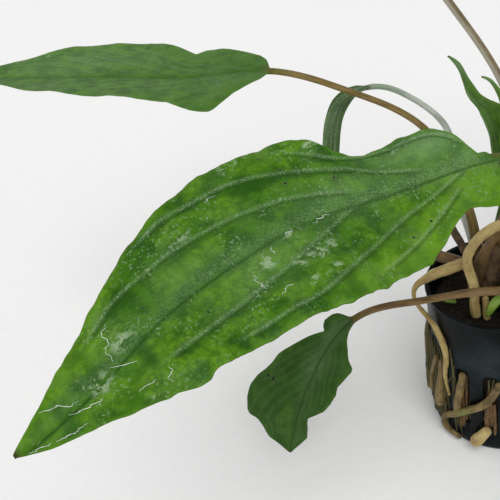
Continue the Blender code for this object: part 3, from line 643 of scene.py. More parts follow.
brightLook = {"deep": (0.018, 0.085, 0.001), "middle": (0.046, 0.152, 0.003), "light": (0.110, 0.258, 0.008),
              "vein": (0.012, 0.058, 0.002), "veinShare": 0.55, "netShare": 0.22, "ribTone": (0.150, 0.262, 0.108),
              "ribShare": 0.90, "ribLineShare": 0.80, "veinSideHighlightShare": 0.75, "veil": 0.30,
              "paintedSheenTone": (0.115, 0.225, 0.060), "paintedSheenPatchTone": (0.170, 0.305, 0.120), "paintedSunTone": (0.135, 0.300, 0.012),
              "filmAndGlintTone": (0.280, 0.390, 0.220), "grime": 0.65, "edgeShare": 0.40, "under": (0.070, 0.140, 0.035),
              "stalkTone": (0.045, 0.110, 0.008), "gloss": 0.12, "rough": 0.34}
deepLook = dict(brightLook, deep=(0.036, 0.118, 0.006), middle=(0.070, 0.188, 0.012), light=(0.102, 0.240, 0.020),
                veil=0.30, paintedSheenTone=(0.140, 0.260, 0.085), ribTone=(0.040, 0.115, 0.018), netShare=0.08,
                vein=(0.036, 0.118, 0.008), veinShare=0.35, ribShare=0.6, under=(0.075, 0.150, 0.045),
                veinSideHighlightShare=0.10, grime=0.15, stalkTone=(0.120, 0.090, 0.018), rough=0.42, gloss=0.18)
# painted shade: a darker copy of the leaf greens for the low leaves that lie in shade
shadedLeafLook = dict(brightLook, deep=(0.022, 0.070, 0.005), middle=(0.036, 0.100, 0.009), light=(0.056, 0.138, 0.016),
                veil=0.45, paintedSheenTone=(0.075, 0.145, 0.048), ribTone=(0.085, 0.145, 0.060), netShare=0.10,
                vein=(0.018, 0.060, 0.005), veinShare=0.35, under=(0.055, 0.100, 0.036),
                stalkTone=(0.085, 0.055, 0.018), filmAndGlintTone=(0.110, 0.170, 0.085), grime=0.15, veinSideHighlightShare=0.10,
                rough=0.46, gloss=0.15)
freshLook = dict(brightLook, deep=(0.058, 0.150, 0.004), middle=(0.085, 0.200, 0.008), light=(0.125, 0.265, 0.020),
                 veil=0.10, paintedSheenPatchTone=(0.250, 0.370, 0.220), netShare=0.05, grime=0.0, veinSideHighlightShare=0.10,
                 veinShare=0.25, ribShare=0.15, ribLineShare=0.35, under=(0.110, 0.210, 0.050))
paleLook = dict(brightLook, deep=(0.038, 0.082, 0.020), middle=(0.058, 0.112, 0.028), light=(0.095, 0.160, 0.058),
                veil=0.35, paintedSheenTone=(0.160, 0.220, 0.120), ribTone=(0.200, 0.260, 0.160), grime=0.1,
                vein=(0.026, 0.065, 0.014), under=(0.150, 0.200, 0.115), stalkTone=(0.330, 0.370, 0.280),
                rough=0.45, gloss=0.15)

brownStalk = {"dark": (0.090, 0.050, 0.017), "middle": (0.170, 0.100, 0.038), "light": (0.260, 0.170, 0.072),
              "foot": (0.060, 0.034, 0.012), "top": (0.110, 0.090, 0.016), "flank": (0.300, 0.200, 0.090)}
tanStalk = dict(brownStalk, dark=(0.110, 0.072, 0.018), middle=(0.190, 0.128, 0.034), light=(0.270, 0.195, 0.070),
                top=(0.130, 0.130, 0.022), flank=(0.260, 0.250, 0.110))
beigeStalk = dict(brownStalk, dark=(0.115, 0.085, 0.035), middle=(0.190, 0.150, 0.080), light=(0.280, 0.240, 0.150),
                  flank=(0.420, 0.400, 0.320))
greyStalk = dict(brownStalk, dark=(0.300, 0.340, 0.280), middle=(0.430, 0.470, 0.400), light=(0.600, 0.620, 0.560),
                 top=(0.250, 0.340, 0.230), topFrom=0.75, foot=(0.300, 0.290, 0.240), flank=(0.650, 0.660, 0.620))
greenStalk = dict(brownStalk, dark=(0.036, 0.090, 0.006), middle=(0.055, 0.130, 0.008), light=(0.090, 0.185, 0.018),
                  top=(0.045, 0.110, 0.008), topFrom=0.6, flank=(0.120, 0.200, 0.060))

leafFinishes = {name: leafFinish(name + "LeafFinish", look) for name, look in
                (("bright", brightLook), ("deep", deepLook), ("dark", shadedLeafLook), ("pale", paleLook),
                 ("fresh", freshLook))}
stalkFinishes = {name: stalkFinish(name + "StalkFinish", look) for name, look in
                 (("brown", brownStalk), ("tan", tanStalk), ("beige", beigeStalk), ("grey", greyStalk),
                  ("green", greenStalk))}

plainLeaf = {"roll": (0, 0), "fold": (2.6, 0.8), "lobe": 2.0, "stalkRadii": (2.0, 1.2), "grid": (170, 45),
             "ragged": 0.45, "quiltSize": 6.0, "quilt": 0.45, "puff": 0.35, "veinWidth": 0.65, "veinDepth": 0.30,
             "crinkle": 0.25, "opens": 0.10, "shade": 0.0, "groove": 0.25, "rib": 0.9, "ribBand": 1.8, "finish": "deep", "slot": "leaf_deep",
             "stalkFinish": "brown", "sheathLong": 20.0, "sheathWide": 0.55, "seed": 1.0}

frontLarge = dict(
    plainLeaf, title="leafFrontLarge", finish="bright", slot="leaf_bright", grid=(400, 97), seed=2.0,
    stalk=[(-7.3, -3.2, 54.2), (-5, -5, 68), (0, -6.5, 85), (4.5, -12, 102), (5, -24, 117)],
    blade=[(-1, -34.3, 125), (-24, -51, 127), (-45, -69, 129.5), (-60, -86.5, 129), (-72, -103.5, 126.5),
           (-80.5, -119, 122.5), (-94.5, -134.5, 116)],
    left=[(0, 1.3), (0.012, 8), (0.03, 13), (0.05, 14.9), (0.072, 15.1), (0.09, 14.7), (0.11, 13.8),
          (0.123, 13.4), (0.134, 14), (0.153, 15.6), (0.176, 17.9), (0.198, 20), (0.243, 24), (0.29, 24.8), (0.393, 25.7), (0.437, 25), (0.474, 23.6), (0.555, 22.8),
          (0.589, 21.5), (0.63, 20.6), (0.685, 20), (0.755, 17.6), (0.8, 14.6), (0.842, 11.2), (0.87, 8.7),
          (0.901, 6.6), (0.952, 4.2), (0.985, 1.7), (1, 0.4)],
    right=[(0, 1.3), (0.0505, 1.3), (0.0535, 4.2), (0.055, 6.1), (0.06, 7.9), (0.067, 10.2), (0.074, 11.3),
           (0.081, 12), (0.09, 13.3), (0.101, 14.2), (0.126, 14.7), (0.157, 14.7), (0.172, 14.1), (0.191, 14.4),
           (0.211, 14.1), (0.227, 13.3), (0.257, 13.3), (0.283, 15.1), (0.298, 18.4),
           (0.309, 19.9), (0.345, 22.6), (0.363, 23.7), (0.414, 22.8), (0.45, 22.6), (0.499, 23.9), (0.537, 23.1),
           (0.57, 21.6), (0.629, 19.4), (0.658, 18.2), (0.691, 16), (0.719, 13.9), (0.744, 12.8), (0.828, 9.6),
           (0.887, 6.9), (0.945, 4.2), (0.985, 1.5), (1, 0.4)],
    rightLift=[0, 0, -5, -1, 0, 0, 0, 0, 0, 0, 0, 0, 0],
    opens=0.035, roll=(25, 25), fold=(2.0, 1.0), wave=(1.0, 7, 0.45, 0.1), lobe=0.0, stalkRadii=(2.1, 1.25),
    veins=[[(0.28, 1.6), (0.357, 4.7), (0.403, 6.1), (0.494, 8.2), (0.576, 9.3), (0.653, 9.5), (0.701, 9.3),
            (0.756, 8.5), (0.83, 6.6)],
           [(0.14, 1.2), (0.19, 3.7), (0.268, 8.1), (0.322, 10.7), (0.373, 13.2), (0.457, 16.0), (0.50, 17.2),
            (0.56, 17.3), (0.61, 17.2), (0.68, 15.6)],
           [(0.05, 3.0), (0.073, 7.8), (0.165, 12.0), (0.23, 12.2), (0.293, 12.9), (0.33, 16.5), (0.383, 19.5)],
           [(0.25, -0.6), (0.311, -2.8), (0.355, -5.3), (0.40, -7.2), (0.455, -9.2), (0.52, -10.6),
            (0.604, -11.2), (0.70, -10.6), (0.78, -8.8)],
           [(0.07, -1.2), (0.109, -3.7), (0.15, -6.2), (0.195, -8.3), (0.25, -11.2), (0.312, -14.8),
            (0.36, -16.9), (0.433, -19.3), (0.508, -19.7), (0.585, -18.9), (0.66, -17.4)],
           [(0.10, -6.0), (0.147, -10.6), (0.18, -13.5), (0.21, -15.9), (0.245, -18.4), (0.301, -21.0),
            (0.358, -22.6)]],
    veinWidth=0.42, veinDepth=0.34, quilt=0.62, quiltSize=6.5, puff=0.30, ribBand=2.6, ribLineAt=-1.5,
    crinkle=0.35, ragged=0.45, sheathLong=42.0, sheathWide=1.5,
    film=[(0.509, -5.4, 2.6, 2.2, 0.75), (0.435, -1.9, 2.6, 1.0, 0.85), (0.463, -9.8, 1.8, 2.2, 0.7),
          (0.423, -9.9, 3.2, 1.8, 0.8), (0.389, -9.5, 2.6, 1.6, 0.7), (0.415, -15.7, 2.2, 1.6, 0.7),
          (0.467, -15.5, 1.6, 1.2, 0.8), (0.59, 12.1, 3.0, 1.6, 0.6), (0.77, 2.0, 4.0, 2.4, 0.55),
          (0.175, 11.1, 1.4, 0.9, 1.0), (0.455, 21.8, 2.4, 1.2, 1.0), (0.315, 18.6, 1.8, 1.4, 0.9),
          (0.84, -1.0, 3.0, 2.6, 0.7)],
    haze=[(0.118, 8.9, 9.0, 5.0, 0.85), (0.17, 8.5, 9.0, 4.0, 0.55), (0.066, 3.0, 4.0, 3.0, 0.5),
          (0.30, 4.5, 18.0, 3.5, 0.35), (0.50, -6.0, 14.0, 5.0, 0.30), (0.62, 4.0, 10.0, 4.0, 0.22)],
    sunny=[(0.217, -17.3, 9.0, 5.0, 0.95), (0.30, -20.5, 9.0, 4.5, 0.85), (0.167, -11.5, 8.0, 5.5, 0.75),
           (0.376, -21.5, 8.0, 4.0, 0.55), (0.10, -6.5, 8.0, 6.0, 0.80), (0.06, -9.0, 7.0, 6.0, 0.85),
           (0.96, 0.0, 6.0, 6.0, 0.50), (0.86, 7.0, 9.0, 3.0, 0.45)],
    specks=[(0.306, 8.1, 0.5, 0.4, 1), (0.389, 11.1, 0.5, 0.45, 1), (0.381, 15.1, 0.4, 0.4, 1),
            (0.643, -7.1, 0.55, 0.5, 1), (0.239, -15.6, 0.8, 0.45, 1), (0.192, -12.6, 0.5, 0.4, 1),
            (0.273, -6.2, 0.4, 0.35, 1), (0.205, -15.2, 0.4, 0.3, 1), (0.262, -18.4, 0.3, 0.3, 1),
            (0.50, 5.5, 0.3, 0.3, 1), (0.71, 4.0, 0.3, 0.3, 1), (0.43, 18.0, 0.3, 0.3, 1)],
    paintedGlintLines=[[(0.603, -6.6), (0.605, -8.8), (0.603, -10.1), (0.600, -11.0)],
             [(0.591, -14.7), (0.581, -14.0), (0.570, -13.7), (0.563, -13.9)],
             [(0.548, -2.5), (0.550, -3.8), (0.552, -4.9)],
             [(0.514, -1.7), (0.505, -1.5), (0.495, -1.2)],
             [(0.581, 16.4), (0.572, 16.6), (0.562, 16.7)],
             [(0.947, 4.0), (0.934, 2.8), (0.922, 2.2), (0.913, 0.4), (0.899, -0.1)],
             [(0.917, -1.4), (0.900, -2.6), (0.888, -3.3), (0.875, -4.1)],
             [(0.803, 7.8), (0.814, 5.8), (0.823, 3.7), (0.837, 0.8)],
             [(0.841, -0.1), (0.829, -2.0), (0.814, -3.8)],
             [(0.842, -9.3), (0.833, -9.2), (0.827, -9.7), (0.818, -10.2)],
             [(0.795, -10.6), (0.804, -11.4), (0.813, -12.8)],
             [(0.982, -1.8), (0.968, -2.6), (0.955, -3.1)],
             [(0.949, -3.9), (0.938, -4.2), (0.929, -4.7), (0.910, -5.1)],
             [(0.456, -2.2), (0.442, -1.6), (0.430, -1.3), (0.421, -1.3)]])

leftLong = dict(
    plainLeaf, title="leafLeftLong", grid=(300, 73), seed=3.0,
    stalk=[(-7.1, 2.2, 54.2), (-8.3, 5, 73), (-14, 12, 92), (-24, 18, 107), (-47, 17.5, 122)],
    blade=[(-71, 15, 132), (-98, 13.5, 132.5), (-125, 12, 135), (-153, 11, 137), (-182, 10, 139.5)],
    left=[(0, 1.2), (0.03, 6.3), (0.058, 9.2), (0.08, 12), (0.107, 15), (0.13, 20.5), (0.143, 24.2),
          (0.154, 25.4), (0.179, 25), (0.209, 24.2), (0.243, 22.4), (0.286, 19.6), (0.355, 19), (0.424, 19.3),
          (0.497, 18.7), (0.554, 16.8), (0.622, 15.4), (0.692, 13.5), (0.787, 10.5), (0.861, 7.5), (1, 0.4)],
    right=[(0, 1.2), (0.019, 2.7), (0.046, 7.3), (0.068, 10.7), (0.103, 13.2), (0.147, 15.8), (0.198, 18.9),
           (0.25, 19.9), (0.278, 16.9), (0.303, 19.1), (0.347, 22.5), (0.406, 25.8), (0.46, 27), (0.544, 26),
           (0.63, 26.3), (0.676, 26.6), (0.725, 26), (0.791, 21.5), (0.846, 17), (0.894, 13.6), (0.942, 9),
           (1, 0.4)],
    leftLift=[0, -3.2, -2.2, 0, 0, 0, 0, 0, 0], opens=0.05, shade=0.55, stalkFinish="tan", flank=-0.7,
    fold=(2.2, 1.0), wave=(0.4, 5, 0.0, 0.4), stalkRadii=(2.1, 1.2), ribBand=4.0, quilt=0.12, puff=0.06,
    ragged=0.12, crinkle=0.08, veinDepth=0.06, veinWidth=0.5, groove=0.5,
    film=[(0.79, 17.5, 1.2, 1.0, 1.0)], haze=[(0.60, 14.0, 22.0, 6.0, 0.35), (0.75, 5.0, 16.0, 5.0, 0.25)])

lowSmall = dict(
    plainLeaf, title="leafLowSmall", finish="dark", slot="leaf_dark", grid=(200, 61), seed=4.0,
    stalk=[(0.3, -7.6, 54.2), (5.5, -12.5, 62), (4, -19.5, 69), (-6, -24.5, 72.5), (-24, -27, 70.5)],
    blade=[(-45.5, -26.3, 62), (-53, -31, 56), (-60, -38.5, 46), (-65, -45.5, 35), (-68, -52, 24)],
    left=[(0, 1.2), (0.04, 1.6), (0.089, 2.2), (0.143, 3.8), (0.187, 5.9), (0.24, 8.1), (0.272, 10.6),
          (0.302, 11), (0.39, 10.1), (0.448, 9.3), (0.5, 10.1), (0.576, 9.4), (0.652, 7.9), (0.693, 6),
          (0.732, 4), (0.798, 4.9), (0.867, 5.3), (0.913, 3.6), (0.95, 2.2), (1, 0.4)],
    right=[(0, 1.2), (0.015, 2.1), (0.042, 4.2), (0.091, 5.9), (0.14, 6.2), (0.168, 5.2), (0.186, 3.9),
           (0.224, 5.6), (0.264, 7.3), (0.308, 8.9), (0.348, 10.2), (0.433, 13.1), (0.496, 14.2), (0.553, 15.5),
           (0.613, 17.5), (0.673, 18.5), (0.75, 18.5), (0.816, 17.5), (0.839, 16.3), (0.847, 13.2),
           (0.884, 10.5), (0.935, 7.8), (0.951, 5.8), (0.966, 3.8), (1, 0.4)],
    opens=0.07, roll=(30, 30), fold=(1.5, 1.0), wave=(0.6, 4, 0.2, 0.55), lobe=0.0, stalkRadii=(2.0, 1.15),
    quilt=0.35, quiltSize=5.0, puff=0.15, veinDepth=0.12, ragged=0.15, ribBand=2.2,
    haze=[(0.18, 1.0, 6.0, 2.4, 0.45), (0.40, 1.0, 7.0, 3.0, 0.30)],
    specks=[(0.583, 13.7, 0.9, 0.6, 0.8), (0.591, 11.9, 1.0, 0.7, 0.9), (0.60, 10.4, 0.7, 0.5, 0.8)])

narrowFolded = dict(
    plainLeaf, title="leafNarrowFolded", finish="pale", slot="leaf_pale", grid=(140, 33), seed=5.0,
    stalk=[(-4.7, 6.0, 54.2), (-10, 12, 70), (-15.5, 23, 85), (-18, 34, 98), (-30, 36, 110)],
    blade=[(-42, 31.5, 117), (-51, 23.5, 115.5), (-54.2, 14, 106), (-54, 5, 97), (-52.5, -1, 87)],
    left=[1.6, 2.8, 3.1, 3.1, 3.1, 2.9, 2.4, 1.5, 0.3], right=[1.6, 3.0, 3.5, 3.6, 3.5, 3.1, 2.6, 1.6, 0.3],
    fold=(1.4, 1.0), wave=(0.2, 3, 0.0, 0.5), lobe=0.0, stalkRadii=(2.1, 1.15), stalkFinish="grey", flank=-0.8,
    quilt=0.12, puff=0.08, ragged=0.1, crinkle=0.05, rib=0.5, groove=0.15, ribBand=1.0, veinWidth=0.4,
    veinDepth=0.08, veinCount=3)

youngCurled = dict(
    plainLeaf, title="leafYoungCurled", finish="fresh", slot="leaf_bright", grid=(200, 45), seed=6.0,
    stalk=[(-2.5, 1.3, 65), (-0.3, 6.3, 80)],
    blade=[(1.5, 11, 92), (-0.9, 14.5, 102), (-3.6, 18.3, 111), (-8.3, 21.3, 115.8), (-11.2, 23, 120.8),
           (-13.2, 24.2, 125.6), (-16.2, 24.6, 129)],
    left=[(0, 1.3), (0.06, 3.2), (0.15, 4), (0.4, 4.2), (0.5, 4), (0.58, 3.3), (0.64, 2.8), (0.72, 1.9),
          (0.78, 1.4), (0.9, 1.1), (1, 0.3)],
    right=[(0, 1.3), (0.06, 4.5), (0.15, 7), (0.25, 8.2), (0.38, 8.2), (0.46, 6.2), (0.5, 4.2), (0.55, 3),
           (0.62, 2.4), (0.7, 1.9), (0.78, 1.4), (0.9, 1.2), (1, 0.3)],
    opens=0.12, roll=(10, 0), fold=(1.8, 0.8), wave=(0.3, 4, 0.0, 0.3), lobe=0.0, stalkRadii=(1.6, 1.2),
    stalkFinish="green", quilt=0.20, puff=0.12, ragged=0.10, crinkle=0.05, veinDepth=0.10, ribBand=1.2,
    sheathWide=0.3, haze=[(0.95, 0.0, 7.0, 3.0, 1.0), (0.74, -1.4, 8.0, 1.0, 0.7), (0.45, -4.0, 14.0, 0.9, 0.8)])

youngInner = dict(
    youngCurled, title="leafYoungInner", grid=(140, 37), seed=6.5, stalk=[(-0.2, -0.6, 66), (0.6, 1.3, 82)],
    blade=[(1.2, 3.0, 93), (1.5, 5.2, 104), (1.2, 7.0, 114.5), (0.1, 8.1, 120.6), (-1.6, 8.8, 124.4),
           (-3.4, 9.0, 126.9), (-5.6, 9.0, 128.2)],
    left=[2.0, 3.2, 3.8, 4.0, 3.4, 1.8, 0.9, 0.3], right=[2.0, 3.4, 4.2, 4.4, 3.8, 2.0, 0.9, 0.3],
    stalkRadii=(1.1, 0.9), roll=(0, 0), haze=[(0.97, 0.0, 4.0, 2.0, 1.0)])

tallLeft = dict(
    plainLeaf, title="leafTallLeft", seed=7.0, stalkFinish="beige", flank=1.0, left=fittedWidths(29), right=fittedWidths(31),
    stalk=[(0.9, 2.9, 65), (5.5, 7.5, 91), (1.8, 13.5, 120), (-15.5, 20, 149)],
    blade=[(-28.5, 25, 168), (-42, 36, 181), (-56, 53, 188), (-70, 73, 187), (-82, 93, 180)],
    wave=(1.0, 5, 0.3, 0.7), stalkRadii=(1.6, 1.2))

frontRight = dict(
    plainLeaf, title="leafFrontRight", finish="bright", slot="leaf_bright", seed=8.0, grid=(220, 57),
    stalk=[(7.3, -2.0, 54.2), (11, -6, 72), (16, -12, 92), (24, -20, 109)],
    blade=[(36, -30, 119), (57, -47, 125), (77, -65, 123.5), (94, -82, 116), (107, -97, 104)],
    left=fittedWidths(36), right=fittedWidths(38), roll=(-8, 0), wave=(1.2, 6, 0.15, 0.6), lobe=2.5,
    stalkRadii=(2.1, 1.25), ribBand=2.2)

rightLong = dict(
    plainLeaf, title="leafRightLong", seed=9.0, left=fittedWidths(33), right=fittedWidths(34),
    stalk=[(7.1, 2.6, 54.2), (13, 5, 78), (24, 8, 98), (40, 10, 113)],
    blade=[(58, 12, 123), (83, 13.5, 130), (108, 13, 130.5), (131, 10, 125), (151, 5, 115)],
    roll=(0, -8), wave=(1.1, 6, 0.35, 0.05), stalkRadii=(2.1, 1.2))

backRight = dict(
    plainLeaf, title="leafBackRight", seed=10.0, left=fittedWidths(32), right=fittedWidths(34),
    stalk=[(4.4, 6.2, 54.2), (9, 15, 78), (16, 29, 100), (25, 45, 117)],
    blade=[(35, 62, 128), (48, 84, 135), (60, 106, 135), (70, 126, 128), (77, 143, 117)],
    roll=(0, 6), wave=(1.1, 5, 0.25, 0.8))

tallRight = dict(
    plainLeaf, title="leafTallRight", finish="bright", slot="leaf_bright", seed=11.0,
    left=fittedWidths(28), right=fittedWidths(29), stalk=[(1.6, -2.5, 65), (5.5, -2.5, 92), (12, 1, 124)],
    blade=[(21, 8, 149), (31, 14, 168), (46, 21, 179), (63, 28, 180), (79, 34, 172)],
    fold=(2.8, 0.8), wave=(0.9, 5, 0.0, 0.5), stalkRadii=(1.6, 1.15))

lowRight = dict(
    plainLeaf, title="leafLowRight", finish="dark", slot="leaf_dark", seed=12.0, left=fittedWidths(27),
    right=fittedWidths(25), stalk=[(4.9, -5.8, 54.2), (12, -13, 65), (22, -19, 72), (33, -23, 71)],
    blade=[(44, -27, 66), (56, -33, 57), (66, -39, 44), (73, -44, 30)],
    fold=(1.6, 0.8), wave=(1.2, 4, 0.1, 0.55), lobe=1.5, stalkRadii=(1.9, 1.15))

backLow = dict(
    plainLeaf, title="leafBackLow", finish="dark", slot="leaf_dark", seed=13.0, left=fittedWidths(28),
    right=fittedWidths(27), stalk=[(0.2, 7.8, 54.2), (5, 20, 71), (11, 35, 82), (17, 49, 86)],
    blade=[(23, 62, 85), (29, 77, 79), (34, 92, 68), (38, 104, 54)],
    fold=(1.8, 0.8), wave=(1.1, 4, 0.45, 0.9), lobe=1.5, stalkRadii=(1.9, 1.15))

for node, leaf in (("leaf_front_large", frontLarge), ("leaf_left_long", leftLong), ("leaf_low_small", lowSmall),
                   ("leaf_narrow_folded", narrowFolded), ("leaf_young_curled", youngCurled),
                   ("leaf_young_curled", youngInner), ("leaf_tall_left", tallLeft), ("leaf_front_right", frontRight),
                   ("leaf_right_long", rightLong), ("leaf_back_right", backRight),
                   ("leaf_tall_right", tallRight), ("leaf_low_right", lowRight), ("leaf_back_low", backLow)):
    addBlade(node, leaf, leafFinishes[leaf["finish"]])
    addStalk(node, leaf, stalkFinishes[leaf["stalkFinish"]])
print("leaves made")


# pot
potSizes = {"height": 58.0, "rim": 25.0, "base": 24.4, "wall": 1.2, "floor": 1.6, "lipOut": 0.4, "lipHigh": 1.4,
            "slots": 16, "slotLow": 5.0, "slotHigh": 36.0, "slotWide": 4.9, "corner": 1.6, "firstSlot": -8.0,
            "holeEvery": 2, "holeFrom": 9.0, "holeTo": 17.0, "holeWide": 3.0, "between": 6, "across": 6}


def wallRadius(z):
    # straight taper from the base's radius to the rim's
    return potSizes["base"] + (potSizes["rim"] - potSizes["base"]) * z / potSizes["height"]


def potShape(p):
    # outer profile up, over the lip and down the inside, carried round; columns keep to the slots' sides
    wall, floor, corner = p["wall"], p["floor"], p["corner"]
    low, high = p["slotLow"] + corner, p["slotHigh"] - corner
    wallLevels = [3.0, low, 11, 15, 19, 23, 27, 31, high, 40, 44, 48, 52, 55]
    outside = [(3, 0), (6, 0), (p["holeFrom"], 0), (11, 0), (13, 0), (15, 0), (p["holeTo"], 0), (19, 0),
               (p["base"] - 1.55, 0), (p["base"] - 0.95, 0.16), (p["base"] - 0.4, 0.6), (wallRadius(1.6), 1.6)]
    outside += [(wallRadius(z), z) for z in wallLevels]
    inside = [(r, floor) for r, z in outside[:8]]
    inside += [(p["base"] - wall - 0.9, floor), (p["base"] - wall - 0.3, floor + 0.15),
               (wallRadius(2.3) - wall, 2.3)]
    inside += [(wallRadius(z) - wall, z) for z in wallLevels]
    top, out = p["height"], p["rim"] + p["lipOut"]
    under = top - p["lipHigh"]
    lip = [(wallRadius(under), under), (out - 0.28, under + 0.08), (out - 0.05, under + 0.35),
           (out, under + 0.75), (out - 0.02, top - 0.45), (out - 0.18, top - 0.13), (out - 0.5, top),
           (p["rim"] - wall + 0.5, top), (p["rim"] - wall + 0.14, top - 0.13), (p["rim"] - wall, top - 0.5),
           (wallRadius(under) - wall, under)]
    profile = np.array(outside + lip + inside[::-1])
    rows = len(profile)
    firstSlotRow = len(outside) - len(wallLevels) + 1
    lastSlotRow = firstSlotRow + 7
    holeRows = (2, 6)

    lineShare = np.linspace(-1, 1, p["across"] + 1)
    radius = profile[:, 0][:, None]
    inFloor = ease((19.0 - np.minimum(radius, 19.5)) / 2.0)
    half = p["slotWide"] / 2 + (p["holeWide"] - p["slotWide"]) / 2 * inFloor
    slotLines = np.arcsin(np.clip(half / np.maximum(radius, p["holeFrom"]), 0, 0.9) * lineShare)
    pitch = 2 * np.pi / p["slots"]
    gapShare = np.linspace(0, 1, p["between"] + 1)[1:-1]
    gapLines = slotLines[:, -1:] + (pitch + slotLines[:, :1] - slotLines[:, -1:]) * gapShare
    one = np.concatenate([slotLines, gapLines], axis=1)
    lines = one.shape[1]
    angle = np.concatenate([one + pitch * k for k in range(p["slots"])], axis=1) + math.radians(p["firstSlot"])
    across = np.tile(np.concatenate([lineShare * p["slotWide"] / 2, np.full(lines - len(lineShare), 99.0)]),
                     p["slots"])[None, :]
    z = np.broadcast_to(profile[:, 1][:, None], angle.shape).copy()
    inCorner = np.clip(np.abs(across) - (p["slotWide"] / 2 - corner), 0, corner)
    drop = np.where(np.abs(across) < 50, np.sqrt(corner ** 2 - inCorner ** 2), 0.0)
    for row, sign in ((firstSlotRow, -1), (lastSlotRow, 1)):
        for r in (row, rows - 1 - row):
            z[r] += sign * drop[0]
    taper = (p["rim"] - p["base"]) / p["height"]
    wallR = np.where(z > 0, radius + (z - profile[:, 1][:, None]) * taper, radius)
    points = np.stack([wallR * np.cos(angle), wallR * np.sin(angle), z], axis=-1)
    sides = angle.shape[1]

    inSlot = np.tile(np.arange(lines) < p["across"], p["slots"])
    inHole = inSlot & (np.arange(sides) // lines % p["holeEvery"] == 0)
    openings = ((firstSlotRow, lastSlotRow, inSlot, 1), (*holeRows, inHole, p["holeEvery"]))
    cutOut = np.zeros((rows - 1, sides), bool)
    for first, last, here, every in openings:
        cutOut[first:last] |= here
        cutOut[rows - 1 - last:rows - 1 - first] |= here
    i, j = np.meshgrid(np.arange(rows - 1), np.arange(sides), indexing="ij")
    a, b = i * sides + j, i * sides + (j + 1) % sides
    quads = np.stack([a, b, b + sides, a + sides], axis=-1)
    faces = quads[~cutOut].tolist()

    # walls of each opening: an outer edge joined to the matching inner edge
    def mirrored(index):
        return (rows - 1 - index // sides) * sides + index % sides

    for first, last, here, every in openings:
        for row, turned in ((first, False), (last, True)):
            near, far = a[row][here], b[row][here]
            strip = np.stack([near, far, mirrored(far), mirrored(near)], axis=-1)
            faces += (strip[:, ::-1] if turned else strip).tolist()
        for column, turned in ((0, True), (p["across"], False)):
            columns = np.arange(0, p["slots"], every) * lines + column
            r0, c0 = np.meshgrid(np.arange(first, last), columns, indexing="ij")
            e0, e1 = (r0 * sides + c0).ravel(), ((r0 + 1) * sides + c0).ravel()
            strip = np.stack([e0, e1, mirrored(e1), mirrored(e0)], axis=-1)
            faces += (strip if not turned else strip[:, ::-1]).tolist()
    points = np.concatenate([points.reshape(-1, 3), [[0, 0, 0], [0, 0, floor]]])
    faces += fanCaps(rows, sides)
    return points, faces


def potFinish():
    # blue-black moulded plastic: fine grain, dull scuffs and dried splashes
    kit = Finish("potPlasticFinish", Specular_IOR_Level=0.09)
    here = kit.here()
    cloud = kit.noise(here, 11.0, 4, 0.38, 0.66)
    grain = kit.noise(here, 0.7, 3, 0.3, 0.7)
    colour = kit.blend(cloud, (0.0012, 0.0020, 0.0024), (0.0070, 0.0110, 0.0125))
    # painted highlight: pale bluish bands where the plastic would reflect the light
    colour = kit.blend(kit.times(kit.mark("bloom"), kit.spread(cloud, 0, 1, 0.6, 1.0)), colour, (0.020, 0.032, 0.036))
    scuffs = kit.noise(kit.stretched(here, 1.0, 1.0, 5.0), 3.5, 5, 0.60, 0.72)
    colour = kit.blend(kit.times(scuffs, 0.20), colour, (0.026, 0.032, 0.032))
    splash = kit.times(kit.noise(here, 5.0, 5, 0.56, 0.68, warp=0.8), 0.45)
    colour = kit.blend(splash, colour, (0.012, 0.010, 0.005))
    rough = kit.plus(kit.spread(cloud, 0, 1, 0.30, 0.44), kit.times(kit.plus(scuffs, splash), 0.25))
    return kit.done(colour, rough, kit.bump(grain, 0.05, 0.3, kit.bump(cloud, 0.25, 0.35)))


potPoints, potFaces = potShape(potSizes)
# painted highlight: soft bands round the pot at these angles and heights
aroundPot = np.degrees(np.arctan2(-potPoints[:, 0], -potPoints[:, 1]))
bloom = np.zeros(len(potPoints))
for angle, height, wide, tall, amount in ((8, 40, 26, 9, 1.0), (52, 30, 16, 16, 0.5), (-70, 36, 40, 12, 0.8),
                                          (150, 38, 45, 12, 0.8)):
    turned = (aroundPot - angle + 180) % 360 - 180
    bloom = np.maximum(bloom, amount * bell(turned, wide) * bell(potPoints[:, 2] - height, tall))
pot = addPiece("potShell", potPoints, potFaces, potFinish(), ("pot",), {"bloom": bloom})
bevel = pot.modifiers.new("softEdges", "BEVEL")
bevel.width = 0.22 * mm
bevel.segments = 2
bevel.limit_method = "ANGLE"
bevel.angle_limit = math.radians(50)
bevel.harden_normals = True
print("pot made")


# growing medium
mediumSizes = {"foot": 1.95, "edge": 49.6, "shoulder": 50.5, "crown": 51.2, "clear": 0.6, "rows": 150,
               "sides": 220, "fibres": 520, "crumbs": 260}


